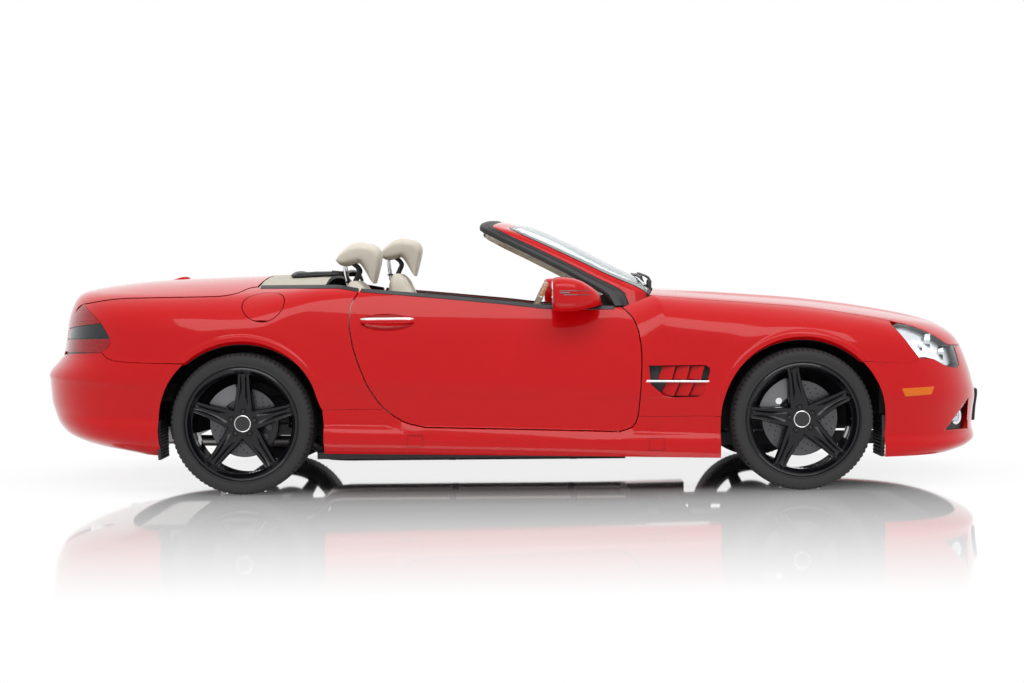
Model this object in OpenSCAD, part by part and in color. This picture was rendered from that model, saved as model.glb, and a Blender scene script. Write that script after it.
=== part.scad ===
// Two-seat convertible car with its roof stowed, as an assembly of its real panels and running gear.
// Millimetres. +X is forward, +Y is the car's left, +Z is up.
// The origin is on the ground under the middle of the car.

/* [Body] */
// Length over the bumpers
car_l = 4560; // [4400:10:4720]
// Width over the body sides
car_w = 1826; // [1780:2:1880]
// Distance between the axles
wheelbase = 2560; // [2480:10:2640]
// Front axle to the tip of the front bumper
front_overhang = 957; // [920:1:1000]
// Gap between two body panels
panel_gap = 6; // [5:0.5:8]
// Distance from the middle of the car to the inner face of a door
door_in_y = 745; // [730:5:755]
// Thickness of the body sides and bumpers
wall_t = 32; // [25:1:45]
// Thickness of the hood and the boot lid
lid_t = 24; // [20:1:40]

/* [Wheels] */
// Outer diameter of the tyres
tyre_d = 650; // [620:2:680]
// Width of a front tyre
front_tyre_w = 255; // [225:5:265]
// Width of a rear tyre
rear_tyre_w = 275; // [245:5:285]
// Diameter of the rim at its flange
rim_d = 516; // [480:2:530]
// Distance between the middles of the front tyres
front_track = 1560; // [1520:2:1570]
// Distance between the middles of the rear tyres
rear_track = 1540; // [1500:2:1550]
// Room between the tyre and the wheel arch
arch_gap = 50; // [44:1:60]
// Diameter of the front brake discs
front_disc_d = 348; // [320:2:370]
// Diameter of the rear brake discs
rear_disc_d = 320; // [300:2:350]
// Radius of the wheel bolts' circle
bolt_circle_r = 56; // [50:1:57]

/* [Cabin] */
// Width of a seat
seat_w = 500; // [460:5:540]
// Sideways distance of a seat from the middle of the car
seat_y = 370; // [350:5:385]
// Diameter of the steering wheel
steering_wheel_d = 375; // [350:5:390]
// Thickness of the windscreen glass
glass_t = 6; // [5:1:8]

/* [Hidden] */
$fn = 48;

// ---- Frame of the car ----
// The form is drawn at these four places, and stretched between them to fit the sizes above.
DRAWN_END = 2280;
DRAWN_FRONT_AXLE = 1323;
DRAWN_REAR_AXLE = -1237;
DRAWN_HALF_W = 913;
front_x = car_l / 2 - front_overhang;
rear_x = front_x - wheelbase;
tyre_r = tyre_d / 2;
arch_r = tyre_r + arch_gap;
half_gap = panel_gap / 2;
seam = 0.6;         // what stays open where two fixed pieces meet
fit = 0.3;          // what stays open where one piece rests on or in another
running = 0.06;     // what stays open around a shaft that turns

// Where a drawn length lies on the car
function at(x) =
    x > DRAWN_FRONT_AXLE
        ? front_x + (x - DRAWN_FRONT_AXLE) * front_overhang / (DRAWN_END - DRAWN_FRONT_AXLE)
        : x < DRAWN_REAR_AXLE
            ? rear_x + (x - DRAWN_REAR_AXLE) * (car_l / 2 + rear_x) / (DRAWN_END + DRAWN_REAR_AXLE)
            : rear_x + (x - DRAWN_REAR_AXLE) * wheelbase / (DRAWN_FRONT_AXLE - DRAWN_REAR_AXLE);
function across(y) = y * car_w / (2 * DRAWN_HALF_W);
function place(p) = [at(p.x), across(p.y), p.z];

// ---- Smooth curves through short tables ----
function segment(t, x, i = 0) = i >= len(t) - 2 || x < t[i + 1][0] ? i : segment(t, x, i + 1);
function rise(t, i, c) = (t[i + 1][c] - t[i][c]) / (t[i + 1][0] - t[i][0]);
function slope(t, i, c) =
    i == 0 ? rise(t, 0, c)
    : i == len(t) - 1 ? rise(t, i - 1, c)
    : rise(t, i - 1, c) * rise(t, i, c) <= 0 ? 0
    : 2 / (1 / rise(t, i - 1, c) + 1 / rise(t, i, c));
// Column c of table t at x, a smooth curve that never overshoots its points
function look(t, x, c = 1) =
    x <= t[0][0] ? t[0][c]
    : x >= t[len(t) - 1][0] ? t[len(t) - 1][c]
    : let (i = segment(t, x), h = t[i + 1][0] - t[i][0], u = (x - t[i][0]) / h)
        t[i][c] * (1 + 2 * u) * (1 - u) * (1 - u)
        + slope(t, i, c) * h * u * (1 - u) * (1 - u)
        + t[i + 1][c] * u * u * (3 - 2 * u)
        - slope(t, i + 1, c) * h * u * u * (1 - u);

// ---- The outer form of the body ----
// Along the car: half width, height of the middle, drop of the crown at the sides, softness of the
// shoulder, and fullness of the upper side.
// [x, half_w, top_z, crown, soft, lean]
LENGTHWISE = [
    [-2280, 900, 905, 55, 50, 0.80],
    [-2130, 904, 932, 60, 50, 0.80],
    [-1987, 908, 962, 66, 80, 0.80],
    [-1738, 911, 988, 74, 130, 0.80],
    [-1237, 913, 1006, 80, 130, 0.80],
    [-850, 906, 1016, 58, 60, 0.92],
    [-400, 897, 1010, 50, 40, 1.00],
    [0, 894, 985, 50, 40, 1.00],
    [400, 899, 956, 46, 60, 0.95],
    [660, 905, 934, 36, 130, 0.85],
    [1000, 911, 906, 34, 170, 0.75],
    [1323, 913, 880, 36, 170, 0.72],
    [1553, 911, 854, 42, 150, 0.75],
    [1780, 908, 818, 46, 120, 0.80],
    [2007, 904, 770, 52, 90, 0.85],
    [2154, 900, 724, 56, 70, 0.85],
    [2280, 896, 650, 60, 60, 0.85]
];
// Up the side: how far it lies inside the half width. The whole side falls towards the front.
// [z, inset]
SIDE_FALL = 0.03;
SIDEWAYS = [
    [100, 100], [150, 52], [180, 22], [215, 4], [245, 2], [272, 12], [300, 32], [360, 25],
    [420, 14], [470, 3], [500, 0], [560, 4], [650, 16], [720, 30], [790, 50], [860, 78],
    [930, 114], [1000, 156]
];
// Middle of the nose and of the tail, from the ground up: [z, x]
NOSE = [
    [100, 2070], [139, 2150], [175, 2252], [205, 2278], [260, 2268], [330, 2272], [400, 2280],
    [500, 2260], [583, 2232], [640, 2208], [690, 2180], [760, 2120], [1000, 2000]
];
TAIL = [
    [100, -1700], [171, -1860], [216, -2090], [266, -2200], [330, -2246], [416, -2274],
    [532, -2280], [556, -2270], [600, -2232], [640, -2204], [700, -2194], [800, -2180],
    [900, -2146], [1000, -2100]
];
END_START = 1220;   // the plan view starts to close this far from the middle
END_POWER = 4;      // how late it closes
END_CORNER = 2.4;   // how square its corners are
CROWN_W = 700;      // where the crown's drop is measured
CROWN_POWER = 2.4;

function half_w(x, z) = look(LENGTHWISE, x) - look(SIDEWAYS, z + SIDE_FALL * x) * look(LENGTHWISE, x, 5);
function end_share(x, z) =
    x >= 0 ? max(0, (x - END_START) / (look(NOSE, z) - END_START))
           : max(0, (-x - END_START) / (-look(TAIL, z) - END_START));
function plan_depth(x, y, z) =
    let (w = half_w(x, z))
        w * (pow(pow(abs(y) / w, END_CORNER) + pow(end_share(x, z), END_POWER), 1 / END_CORNER) - 1);
function top_z(x, y) = look(LENGTHWISE, x, 2) - look(LENGTHWISE, x, 3) * pow(abs(y) / CROWN_W, CROWN_POWER);
function soft_max(a, b, k) = let (h = max(k - abs(a - b), 0) / k) max(a, b) + h * h * k / 4;
// Below zero inside the body, above zero outside it
function depth(p) = soft_max(plan_depth(p.x, p.y, p.z), p.z - top_z(p.x, p.y), look(LENGTHWISE, p.x, 4));
// How far from o along d the body's surface lies
function reach(o, d, lo = 0, hi = 1600, n = 15) =
    n == 0 ? (lo + hi) / 2
    : depth(o + d * (lo + hi) / 2) < 0 ? reach(o, d, (lo + hi) / 2, hi, n - 1)
    : reach(o, d, lo, (lo + hi) / 2, n - 1);

// A panel is a grid of rays that leave a line inside the body:
// "side" rays turn up from AXIS at [x, angle], "end" rays turn sideways from the nose's or the tail's
// pole at [angle, z], and "top" rays rise at [x, y].
AXIS = [0, 450, 480];
POLE = 1300;
function ray(kind, c) =
    kind == "side" ? [[c[0], AXIS.y, AXIS.z], [0, cos(c[1]), sin(c[1])]]
    : kind == "nose" ? [[POLE, 0, c[1]], [cos(c[0]), sin(c[0]), 0]]
    : kind == "tail" ? [[-POLE, 0, c[1]], [-cos(c[0]), sin(c[0]), 0]]
    : kind == "lid" ? [[-POLE, c[0], 560], [-cos(c[1]), 0, sin(c[1])]]
    : [[c[0], c[1], 400], [0, 0, 1]];
function skin(kind, c, inset = 0) = let (r = ray(kind, c)) r[0] + r[1] * (reach(r[0], r[1]) - inset);
// Where a point seen from the side at [x, z] lies on the skin
function seen(p) = let (o = [p[0], 0, p[1]]) o + [0, reach(o, [0, 1, 0]), 0];
function side_ray(q) = [q.x, atan2(q.z - AXIS.z, q.y - AXIS.y)];
function from_side(p) = side_ray(seen(p));
function lid_ray(q) = [q.y, atan2(q.z - 560, -POLE - q.x)];

// ---- Curves and grids ----
function mix(a, b, u) = a + (b - a) * u;
function line(a, b, n) = [for (i = [0 : n]) mix(a, b, i / n)];
function arc(c, r, a0, a1, n) = [for (i = [0 : n]) c + r * [cos(mix(a0, a1, i / n)), sin(mix(a0, a1, i / n))]];
function head(l) = [for (i = [0 : len(l) - 2]) l[i]];
function back(l) = [for (i = [len(l) - 1 : -1 : 0]) l[i]];
// n steps of a smooth curve through points p, even by index
function smooth(p, n) =
    let (t = [for (i = [0 : len(p) - 1]) concat([i], p[i])])
        [for (i = [0 : n]) let (u = i * (len(p) - 1) / n) [look(t, u, 1), look(t, u, 2)]];
function bit(p, i) = norm(p[i + 1] - p[i]);
function run(p, i = 0) = i >= len(p) - 1 ? 0 : bit(p, i) + run(p, i + 1);
function walk(p, s, i = 0) = i >= len(p) - 2 || s <= bit(p, i) ? mix(p[i], p[i + 1], s / bit(p, i)) : walk(p, s - bit(p, i), i + 1);
// n even steps along the points p
function even(p, n) = let (l = run(p)) [for (i = [0 : n]) walk(p, l * i / n)];
// Moves each point of a curve sideways by d, to its left if d is positive
function shift(p, d) =
    [for (i = [0 : len(p) - 1])
        let (t = p[min(i + 1, len(p) - 1)] - p[max(i - 1, 0)]) p[i] + d * [-t.y, t.x] / norm(t)];
// A grid of points that fills four curves: bottom and top run alike, and so do left and right
function patch(bottom, top, left, right) =
    let (n = len(bottom) - 1, m = len(left) - 1)
        [for (j = [0 : m]) [for (i = [0 : n])
            let (s = i / n, t = j / m)
                mix(bottom[i], top[i], t) + mix(left[j], right[j], s)
                - mix(mix(bottom[0], bottom[n], s), mix(top[0], top[n], s), t)]];
function ruled(bottom, top, m) =
    let (n = len(bottom) - 1) patch(bottom, top, line(bottom[0], top[0], m), line(bottom[n], top[n], m));

// A closed solid between two grids of points of the same size, which share their borders' order
module between(outer, inner) {
    m = len(outer) - 1;
    n = len(outer[0]) - 1;
    w = n + 1;
    all = (m + 1) * w;
    function id(j, i) = j * w + i;
    polyhedron(
        points = [for (g = [outer, inner]) for (row = g) for (p = row) place(p)],
        faces = concat(
            [for (j = [0 : m - 1]) for (i = [0 : n - 1]) for (k = [0, 1])
                k == 0 ? [id(j, i), id(j + 1, i), id(j + 1, i + 1)] : [id(j, i), id(j + 1, i + 1), id(j, i + 1)]],
            [for (j = [0 : m - 1]) for (i = [0 : n - 1]) for (k = [0, 1])
                k == 0 ? [all + id(j, i), all + id(j + 1, i + 1), all + id(j + 1, i)]
                       : [all + id(j, i), all + id(j, i + 1), all + id(j + 1, i + 1)]],
            [for (i = [0 : n - 1]) for (k = [0, 1])
                k == 0 ? [id(0, i), id(0, i + 1), all + id(0, i + 1)] : [id(0, i), all + id(0, i + 1), all + id(0, i)]],
            [for (i = [0 : n - 1]) for (k = [0, 1])
                k == 0 ? [id(m, i), all + id(m, i + 1), id(m, i + 1)] : [id(m, i), all + id(m, i), all + id(m, i + 1)]],
            [for (j = [0 : m - 1]) for (k = [0, 1])
                k == 0 ? [id(j, 0), all + id(j + 1, 0), id(j + 1, 0)] : [id(j, 0), all + id(j, 0), all + id(j + 1, 0)]],
            [for (j = [0 : m - 1]) for (k = [0, 1])
                k == 0 ? [id(j, n), id(j + 1, n), all + id(j + 1, n)] : [id(j, n), all + id(j + 1, n), all + id(j, n)]]
        )
    );
}
// A panel of thickness t that follows the body over a grid of rays. Its inner side is drawn in by the
// share taper, and its borders by draw = [left, right, bottom, top] in the grid's own units.
module panel(kind, grid, t, lift = 0, taper = 0, draw = [0, 0, 0, 0]) {
    m = len(grid) - 1;
    n = len(grid[0]) - 1;
    middle = grid[floor(m / 2)][floor(n / 2)];
    between(
        [for (row = grid) [for (c = row) skin(kind, c, -lift)]],
        [for (j = [0 : m]) [for (i = [0 : n])
            let (
                across_d = i == 0 ? draw[0] : i == n ? -draw[1] : 0,
                along_d = across_d != 0 ? 0 : j == 0 ? draw[2] : j == m ? -draw[3] : 0
            )
                skin(kind, mix(grid[j][i], middle, taper) + [across_d, along_d], t)]]
    );
}
// The same on the left and the right; what is drawn is on the left, the +Y side
module mirrored() {
    children();
    mirror([0, 1, 0]) children();
}

// ---- Lines between the panels, seen from the side as [x, z] ----
DOOR_REAR = [[-402, 302], [-479, 321], [-584, 389], [-661, 500], [-728, 683], [-743, 780], [-738, 850], [-700, 932]];
DOOR_FRONT = [[490, 276], [548, 298], [572, 346], [584, 470], [591, 614], [581, 720], [558, 787], [509, 842]];
BELT = [[-700, 932], [-427, 908], [-59, 872], [253, 842], [509, 842]];
QUARTER_TOP = [[-2012, 876], [-1793, 902], [-1358, 908], [-1283, 920], [-1197, 950], [-841, 950], [-700, 932]];
TAIL_LAMP_EDGE = [[-1888, 656], [-1850, 680], [-1843, 709], [-1900, 795], [-2012, 876]];
REAR_BUMPER_CUT = [[-1888, 656], [-1840, 623], [-1765, 613], [-1489, 603]];
FRONT_BUMPER_CUT = [[1590, 588], [1806, 576], [1869, 598]];
HEADLAMP_EDGE = [[1869, 598], [1799, 691], [1753, 752]];
SKIRT_JOINT_FRONT = 345;
SKIRT_JOINT_REAR = 388;
HOOD_SIDE = [[640, 712], [1000, 720], [1323, 724], [1560, 726], [1753, 726]]; // seen from above as [x, y]
axle_z = tyre_r;
arch_f = [DRAWN_FRONT_AXLE, axle_z];
arch_rr = [DRAWN_REAR_AXLE, axle_z];
half_seam = seam / 2;
// The angle at which an arch passes the height z
function arch_angle(z) = asin((z - axle_z) / arch_r);
// Where a line given as [x, z], rising in z, passes the height z
function cross_z(p, z) = look([for (q = p) [q.y, q.x]], z);
function arch_at(c, a) = c + arch_r * [cos(a), sin(a)];
quarter_smooth = smooth(QUARTER_TOP, 24);
LID_EDGE_STEPS = 13;    // steps of that line that lie along the boot lid
quarter_line = concat(
    head(even([for (i = [0 : 16]) quarter_smooth[i]], LID_EDGE_STEPS)),
    even([for (i = [16 : 24]) quarter_smooth[i]], 20 - LID_EDGE_STEPS));
door_rear = smooth(DOOR_REAR, 9);
door_front = smooth(DOOR_FRONT, 9);

// ---- Moving panels ----
// Height of the hood's front edge around the nose: [angle, z]
HOOD_NOSE = [[0, 690], [14, 684], [22, 660], [30, 645], [40.8, 650], [48, 715], [54, 752], [57, 758]];
HOOD_REAR_X = 700;
HOOD_REAR_BOW = 60;
function hood_rear(y) = HOOD_REAR_X - HOOD_REAR_BOW * pow(abs(y) / HOOD_SIDE[0].y, 2);

module hood() {
    side = shift(smooth(HOOD_SIDE, 12), -half_gap);
    nose = [for (a = [-57 : 9.5 : 57])
        let (q = skin("nose", [a, look(HOOD_NOSE, abs(a)) + half_gap])) [q.x, q.y]];
    tip = side[12];
    front = concat([[tip.x, -tip.y]], [for (i = [1 : len(nose) - 2]) nose[i]], [tip]);
    rear = [for (i = [0 : 12]) let (y = mix(-side[0].y, side[0].y, i / 12)) [hood_rear(y), y]];
    color("red") panel("top", patch([for (p = side) [p.x, -p.y]], side, rear, front), lid_t, 0, 0.02);
}

LID_LOW = 632;      // height of the boot lid's lower edge
LID_EASE = 1;       // what its edge stays back beyond the even gap
LID_CORNER = 540;   // half the width of the boot lid there
// The line between the boot lid and a tail lamp at the height z, moved out by d
function lid_side(z, d) =
    let (u = max(0, (z - LID_LOW) / (872 - LID_LOW)), y = mix(LID_CORNER, LID_TOP_Y, pow(u, 1.5)))
        [atan2(y + d, -look(TAIL, z) - POLE), z];
LID_TOP_Y = seen(QUARTER_TOP[0]).y + 55;
module boot_lid() {
    edge = shift([for (i = [0 : LID_EDGE_STEPS]) quarter_line[i]], half_gap + LID_EASE);
    side = [for (p = edge) lid_ray(seen(p))];
    down = [for (i = [0 : 5]) lid_ray(skin("tail", lid_side(mix(LID_LOW, 872, i / 6), -half_gap)))];
    left = concat(down, side);
    right = [for (p = left) [-p[0], p[1]]];
    n = len(left) - 1;
    color("red") panel("lid", patch(line(right[0], left[0], 12), line(right[n], left[n], 12), right, left),
        lid_t, 0, 0.035);
}

DOOR_END_TAPER = 0.055;
DOOR_EASE = 2.5;    // what a door's edge stays back beyond the even gap, so it swings free
module door() {
    rear = shift(door_rear, -half_gap - DOOR_EASE);
    front = shift(door_front, half_gap + DOOR_EASE);
    bottom = line(rear[0] + [0, half_gap + DOOR_EASE], front[0] + [0, half_gap + DOOR_EASE], 12);
    belt = even(smooth(BELT, 20), 12);
    top = concat([rear[9]], [for (i = [1 : 11]) belt[i]], [front[9]]);
    grid = patch(bottom, top, rear, front);
    outer = [for (row = grid) [for (p = row) skin("side", from_side(p))]];
    mid = outer[4][6].x;
    color("red") between(outer,
        [for (row = outer) [for (q = row) [mix(q.x, mid, DOOR_END_TAPER), door_in_y, q.z]]]);
}

module fuel_flap_place() {
    q = skin("side", from_side(FLAP_CENTRE));
    translate([at(q.x), -across(q.y), q.z]) rotate([90 - FLAP_TILT, 0, 0]) children();
}
FLAP_CENTRE = [-1140, 872];
FLAP_R = 96;
FLAP_EASE = 3;      // wider gap around the fuel flap, so it swings free
FLAP_TILT = 48.5;     // how far the body's face is turned up there
FLAP_T = 12;
module fuel_flap() {
    corners = [for (d = [[-140, -80], [140, -80], [-140, 80], [140, 80]]) FLAP_CENTRE + d];
    grid = ruled(line(corners[0], corners[1], 8), line(corners[2], corners[3], 8), 6);
    color("red") intersection() {
        mirror([0, 1, 0]) panel("side", [for (row = grid) [for (p = row) from_side(p)]], FLAP_T);
        fuel_flap_place() translate([0, 0, -60]) cylinder(r = FLAP_R, h = 120);
    }
}

// ---- Fixed panels ----
// How far the inner side of a fixed panel stays back from the door beside it, and from the lid above it
EDGE_DRAW = 32;
EDGE_TURN = 4.5;
LAMP_DRAW = 8;      // and how far from the tail lamp behind it
module front_fender() {
    low = shift(door_front, -half_gap);
    foot_z = SKIRT_JOINT_FRONT + half_seam;
    left = concat([[cross_z(low, foot_z), foot_z]], [for (i = [3 : 9]) low[i]]);
    bottom = concat(
        head(line(left[0], arch_at(arch_f, 180 - arch_angle(foot_z)), 3)),
        head(arc(arch_f, arch_r, 180 - arch_angle(foot_z), arch_angle(588), 12)),
        even([for (p = smooth(FRONT_BUMPER_CUT, 8)) p + [0, half_seam]], 3));
    right = even(smooth([for (p = HEADLAMP_EDGE) p + [-half_seam, 0]], 12), 7);
    top = even([for (p = shift(smooth(HOOD_SIDE, 12), half_gap)) side_ray(skin("top", p))], 18);
    grid = patch(
        [for (p = bottom) from_side(p)], concat([from_side(left[7])], [for (i = [1 : 18]) top[i]]),
        [for (p = left) from_side(p)], concat([for (i = [0 : 6]) from_side(right[i])], [top[18]]));
    color("red") panel("side", grid, wall_t, 0, 0, [EDGE_DRAW, 0, 0, EDGE_TURN]);
}
module front_fenders() mirrored() front_fender();

module rear_quarter() {
    edge = shift(door_rear, half_gap);
    foot_z = SKIRT_JOINT_REAR + half_seam;
    right = concat([[cross_z(edge, foot_z), foot_z]], [for (i = [3 : 9]) edge[i]]);
    bottom = concat(
        head(even([for (p = smooth(REAR_BUMPER_CUT, 6)) p + [0, half_seam]], 4)),
        head(arc(arch_rr, arch_r, 180 - arch_angle(603), arch_angle(foot_z), 13)),
        line(arch_at(arch_rr, arch_angle(foot_z)), right[0], 3));
    left = even(smooth([for (p = TAIL_LAMP_EDGE) p + [half_seam, half_seam]], 12), 7);
    belt = shift(quarter_line, -half_gap);
    top = concat([left[7]], [for (i = [1 : 19]) belt[i]], [right[7]]);
    grid = [for (row = patch(bottom, top, left, right)) [for (p = row) from_side(p)]];
    color("red") panel("side", grid, wall_t, 0, 0, [LAMP_DRAW, EDGE_DRAW, 0, EDGE_TURN]);
}
module rear_quarters() {
    rear_quarter();
    difference() {
        mirror([0, 1, 0]) rear_quarter();
        fuel_flap_place() translate([0, 0, -80]) cylinder(r = FLAP_R + panel_gap + FLAP_EASE, h = 140);
    }
}

BUMPER_TAPER = 0.06;    // keeps a bumper's inner side clear of the panels around it
// Angles around the nose at which the front bumper has points, with its height there: [angle, z]
BUMPER_TOP = [[0, 446], [9, 446], [17, 446], [20.5, 500], [22, 590], [23.2, 648], [30, 638], [37.4, 640], [38.4, 556],
    [41.4, 542], [46, 556], [51, 592]];
function round_nose(p) = let (q = seen(p)) [atan2(q.y, abs(q.x) - POLE), q.z];
module front_bumper() {
    cut = even(smooth([for (p = back(FRONT_BUMPER_CUT)) p - [0, half_seam]], 8), 3);
    top_half = concat([for (t = BUMPER_TOP) t], [for (p = cut) round_nose(p)]);
    n = len(top_half) - 1;
    top = concat([for (i = [n : -1 : 1]) [-top_half[i][0], top_half[i][1]]], top_half);
    side = [for (z = [150 : 43.5 : 541]) let (dz = max(0, z - axle_z))
        round_nose([DRAWN_FRONT_AXLE + sqrt(arch_r * arch_r - dz * dz), z])];
    right = concat(side, [top[2 * n]]);
    left = [for (p = right) [-p[0], p[1]]];
    bottom = [for (p = top) [p[0] * right[0][0] / top[2 * n][0], 150]];
    color("red") panel("nose", patch(bottom, top, left, right), wall_t, 0, BUMPER_TAPER);
}

REAR_TOP = [[0, 626], [12, 626], [22, 626], [31.5, 626], [37, 641], [41, 645], [46, 648]];
TAIL_PIPE = [430, 240]; // [y, z]
TAIL_PIPE_R = 40;
module rear_bumper() {
    cut = even(smooth([for (p = REAR_BUMPER_CUT) p - [0, half_seam]], 8), 4);
    top_half = concat(REAR_TOP, [for (p = cut) round_nose(p)]);
    n = len(top_half) - 1;
    top = concat([for (i = [n : -1 : 1]) [-top_half[i][0], top_half[i][1]]], top_half);
    side = [for (z = [175 : 41 : 544]) let (dz = max(0, z - axle_z))
        round_nose([DRAWN_REAR_AXLE - sqrt(arch_r * arch_r - dz * dz), z])];
    right = concat(side, [top[2 * n]]);
    left = [for (p = right) [-p[0], p[1]]];
    bottom = [for (p = top) [p[0] * right[0][0] / top[2 * n][0], 175]];
    color("red") difference() {
        panel("tail", patch(bottom, top, left, right), wall_t, 0, BUMPER_TAPER);
        mirrored() translate([-car_l / 2, TAIL_PIPE.x, TAIL_PIPE.y]) rotate([0, 90, 0])
            cylinder(r = TAIL_PIPE_R + 6, h = 560);
    }
}

SKIRT_IN_Y = 770;   // inner face of the side skirts, where the floor ends
SKIRT_LOW = [[-870, 185], [940, 153]];
module side_skirt() {
    back_x = arch_at(arch_rr, 0).x;
    front_x_end = arch_at(arch_f, 180).x;
    back_top = arch_at(arch_rr, arch_angle(SKIRT_JOINT_REAR));
    front_top = arch_at(arch_f, 180 - arch_angle(SKIRT_JOINT_FRONT));
    edge = shift(door_rear, half_gap);
    ahead = shift(door_front, -half_gap);
    rear_z = SKIRT_JOINT_REAR - half_seam;
    front_z = SKIRT_JOINT_FRONT - half_seam;
    top = concat(
        line([back_top.x, rear_z], [cross_z(edge, rear_z), rear_z], 3),
        [edge[2], edge[1]],
        line(edge[0], ahead[0], 6),
        [ahead[1], ahead[2]],
        line([cross_z(ahead, front_z), front_z], [front_top.x, front_z], 3));
    n = len(top) - 1;
    low = [for (p = top) let (u = (p.x - top[0].x) / (top[n].x - top[0].x))
        [mix(back_x, front_x_end, u), mix(SKIRT_LOW[0].y, SKIRT_LOW[1].y, u)]];
    left = [for (z = [185 : 34 : 321]) [back_x, z]];
    right = [for (j = [0 : 4]) [front_x_end, mix(153, 321, j / 4)]];
    grid = patch(low, top, concat(left, [top[0]]), concat(right, [top[n]]));
    outer = [for (row = grid) [for (p = row) skin("side", from_side(p))]];
    color("red") between(outer, [for (row = outer) [for (q = row) [q.x, SKIRT_IN_Y, q.z]]]);
}
module side_skirts() mirrored() side_skirt();

LAMP_DEPTH = 45;
LAMP_TAPER = 0.45;
module headlamp() {
    outside = [for (p = even(smooth([for (p = HEADLAMP_EDGE) p + [half_seam, 0]], 12), 5)) round_nose(p)];
    top_corner = [56.4, look(HOOD_NOSE, 56.4) - half_gap];
    top = concat([for (a = [38.2, 39.6, 41, 44, 47, 50, 53]) [a, look(HOOD_NOSE, a) - half_gap]], [top_corner]);
    bottom = concat([[38.9, 557], [41.4, 543], [43.6, 550], [46, 557]], [[48.5, 574], [51, 593], [53.4, 598]], [outside[0]]);
    right = concat([for (i = [0 : 4]) outside[i]], [top_corner]);
    color("gainsboro") panel("nose", patch(bottom, top, line(bottom[0], top[0], 5), right), LAMP_DEPTH, 0, LAMP_TAPER);
}
module headlamps() mirrored() headlamp();

LAMP_OFF = 2;       // how far the lamp stays back from the quarter's edge
module tail_lamp() {
    right = even(smooth([for (p = TAIL_LAMP_EDGE) p - [half_seam + LAMP_OFF, half_seam]], 12), 8);
    n = 7;
    outside = [for (i = [0 : n]) round_nose(right[i])];
    tip = round_nose(QUARTER_TOP[0]);
    inside = [for (i = [0 : n]) i < n ? lid_side(mix(651, 832, i / (n - 1)), half_gap + 5)
        : mix(lid_side(832, half_gap + 5), tip + [1.3, 0], 0.4)];
    grid = patch(line(outside[0], inside[0], 4), line(outside[n], inside[n], 4), outside, inside);
    color("darkred") panel("tail", grid, LAMP_DEPTH, 0, LAMP_TAPER);
}
module tail_lamps() mirrored() tail_lamp();

GRILLE_INSET = 14;
module grille() {
    bottom = [for (a = [-16.5 : 5.5 : 16.5]) [a, BUMPER_TOP[0][1] - 2.6]];
    top = [for (a = [-21 : 7 : 21]) [a, look(HOOD_NOSE, abs(a)) - lid_t - 2 * panel_gap]];
    color("silver") panel("nose", ruled(bottom, top, 5), wall_t, -GRILLE_INSET);
}

PLATE_W = 520;
PLATE_Z = [262, 420];
PLATE_OFF = 0.9;    // how far it stands off the bumper's curve
module plate_bracket() {
    a = atan2(PLATE_W / 2, DRAWN_END - POLE);
    bottom = [for (u = [-a : a / 3 : a + 0.01]) [u, PLATE_Z[0]]];
    top = [for (u = [-a : a / 3 : a + 0.01]) [u, PLATE_Z[1]]];
    color("black") panel("nose", ruled(bottom, top, 4), -PLATE_OFF, 26);
}

// ---- On the doors ----
HANDLE_X = [-685, -452];
HANDLE_Z = 794;
HANDLE_OUT = 24;
HANDLE_TILT = 17;   // how far the door's face is turned up there
HANDLE_POST_R = 8;
module door_handle() {
    color("silver") {
        for (x = HANDLE_X) handle_place(x) translate([0, 0, fit]) cylinder(r = HANDLE_POST_R, h = HANDLE_OUT);
        hull() for (x = HANDLE_X) handle_place(x) translate([0, 0, HANDLE_OUT]) sphere(r = HANDLE_POST_R + 1, $fn = 20);
    }
}
module handle_place(x) {
    q = seen([x, HANDLE_Z]);
    translate(place(q)) rotate([HANDLE_TILT - 90, 0, 0]) children();
}

// Balls whose hull is the mirror's housing: [x, y, z, radius]
MIRROR_BALLS = [[350, 890, 905, 48], [345, 985, 912, 44], [235, 895, 900, 50], [240, 975, 912, 44]];
module mirror_housing() {
    color("red") {
        hull() for (b = MIRROR_BALLS) translate([at(b[0]), across(b[1]), b[2]]) sphere(r = b[3], $fn = 20);
        hull() {
            translate([at(300), across(790), BELT[3].y + fit]) cube([110, 36, 10]);
            translate([at(300), across(890), 880]) cube([60, 20, 30]);
        }
    }
}

// ---- Windscreen ----
// The frame from a door up over the header: front edge [fx, fy, fz], rear edge [rx, ry, rz], and
// the way to its inner face [ix, iy, iz]. [u, fx, fy, fz, rx, ry, rz, ix, iy, iz]
FRAME = [
    [0, 636, 712, 850, 475, 765, 850, 0, -40, 0],
    [1, 627, 692, 906, 450, 740, 902, 0, -10, -36],
    [2, 420, 674, 1010, 300, 708, 996, 0, -8, -34],
    [3, 190, 640, 1122, 84, 666, 1110, 0, -8, -34],
    [4, 30, 590, 1198, -85, 612, 1196, -2, -8, -34],
    [5, -6, 500, 1222, -148, 530, 1236, -2, -4, -36],
    [6, 20, 330, 1236, -118, 350, 1262, 0, -4, -38],
    [7, 50, 0, 1246, -78, 0, 1277, 0, 0, -38]
];
FRAME_STEPS = 21;
function frame_point(u, c) = [look(FRAME, u, c), look(FRAME, u, c + 1), look(FRAME, u, c + 2)];
function flip(p) = [p.x, -p.y, p.z];
function frame_section(u) =
    let (f = frame_point(u, 1), r = frame_point(u, 4), i = frame_point(u, 7)) [f, r, r + i, f + i];
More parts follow.
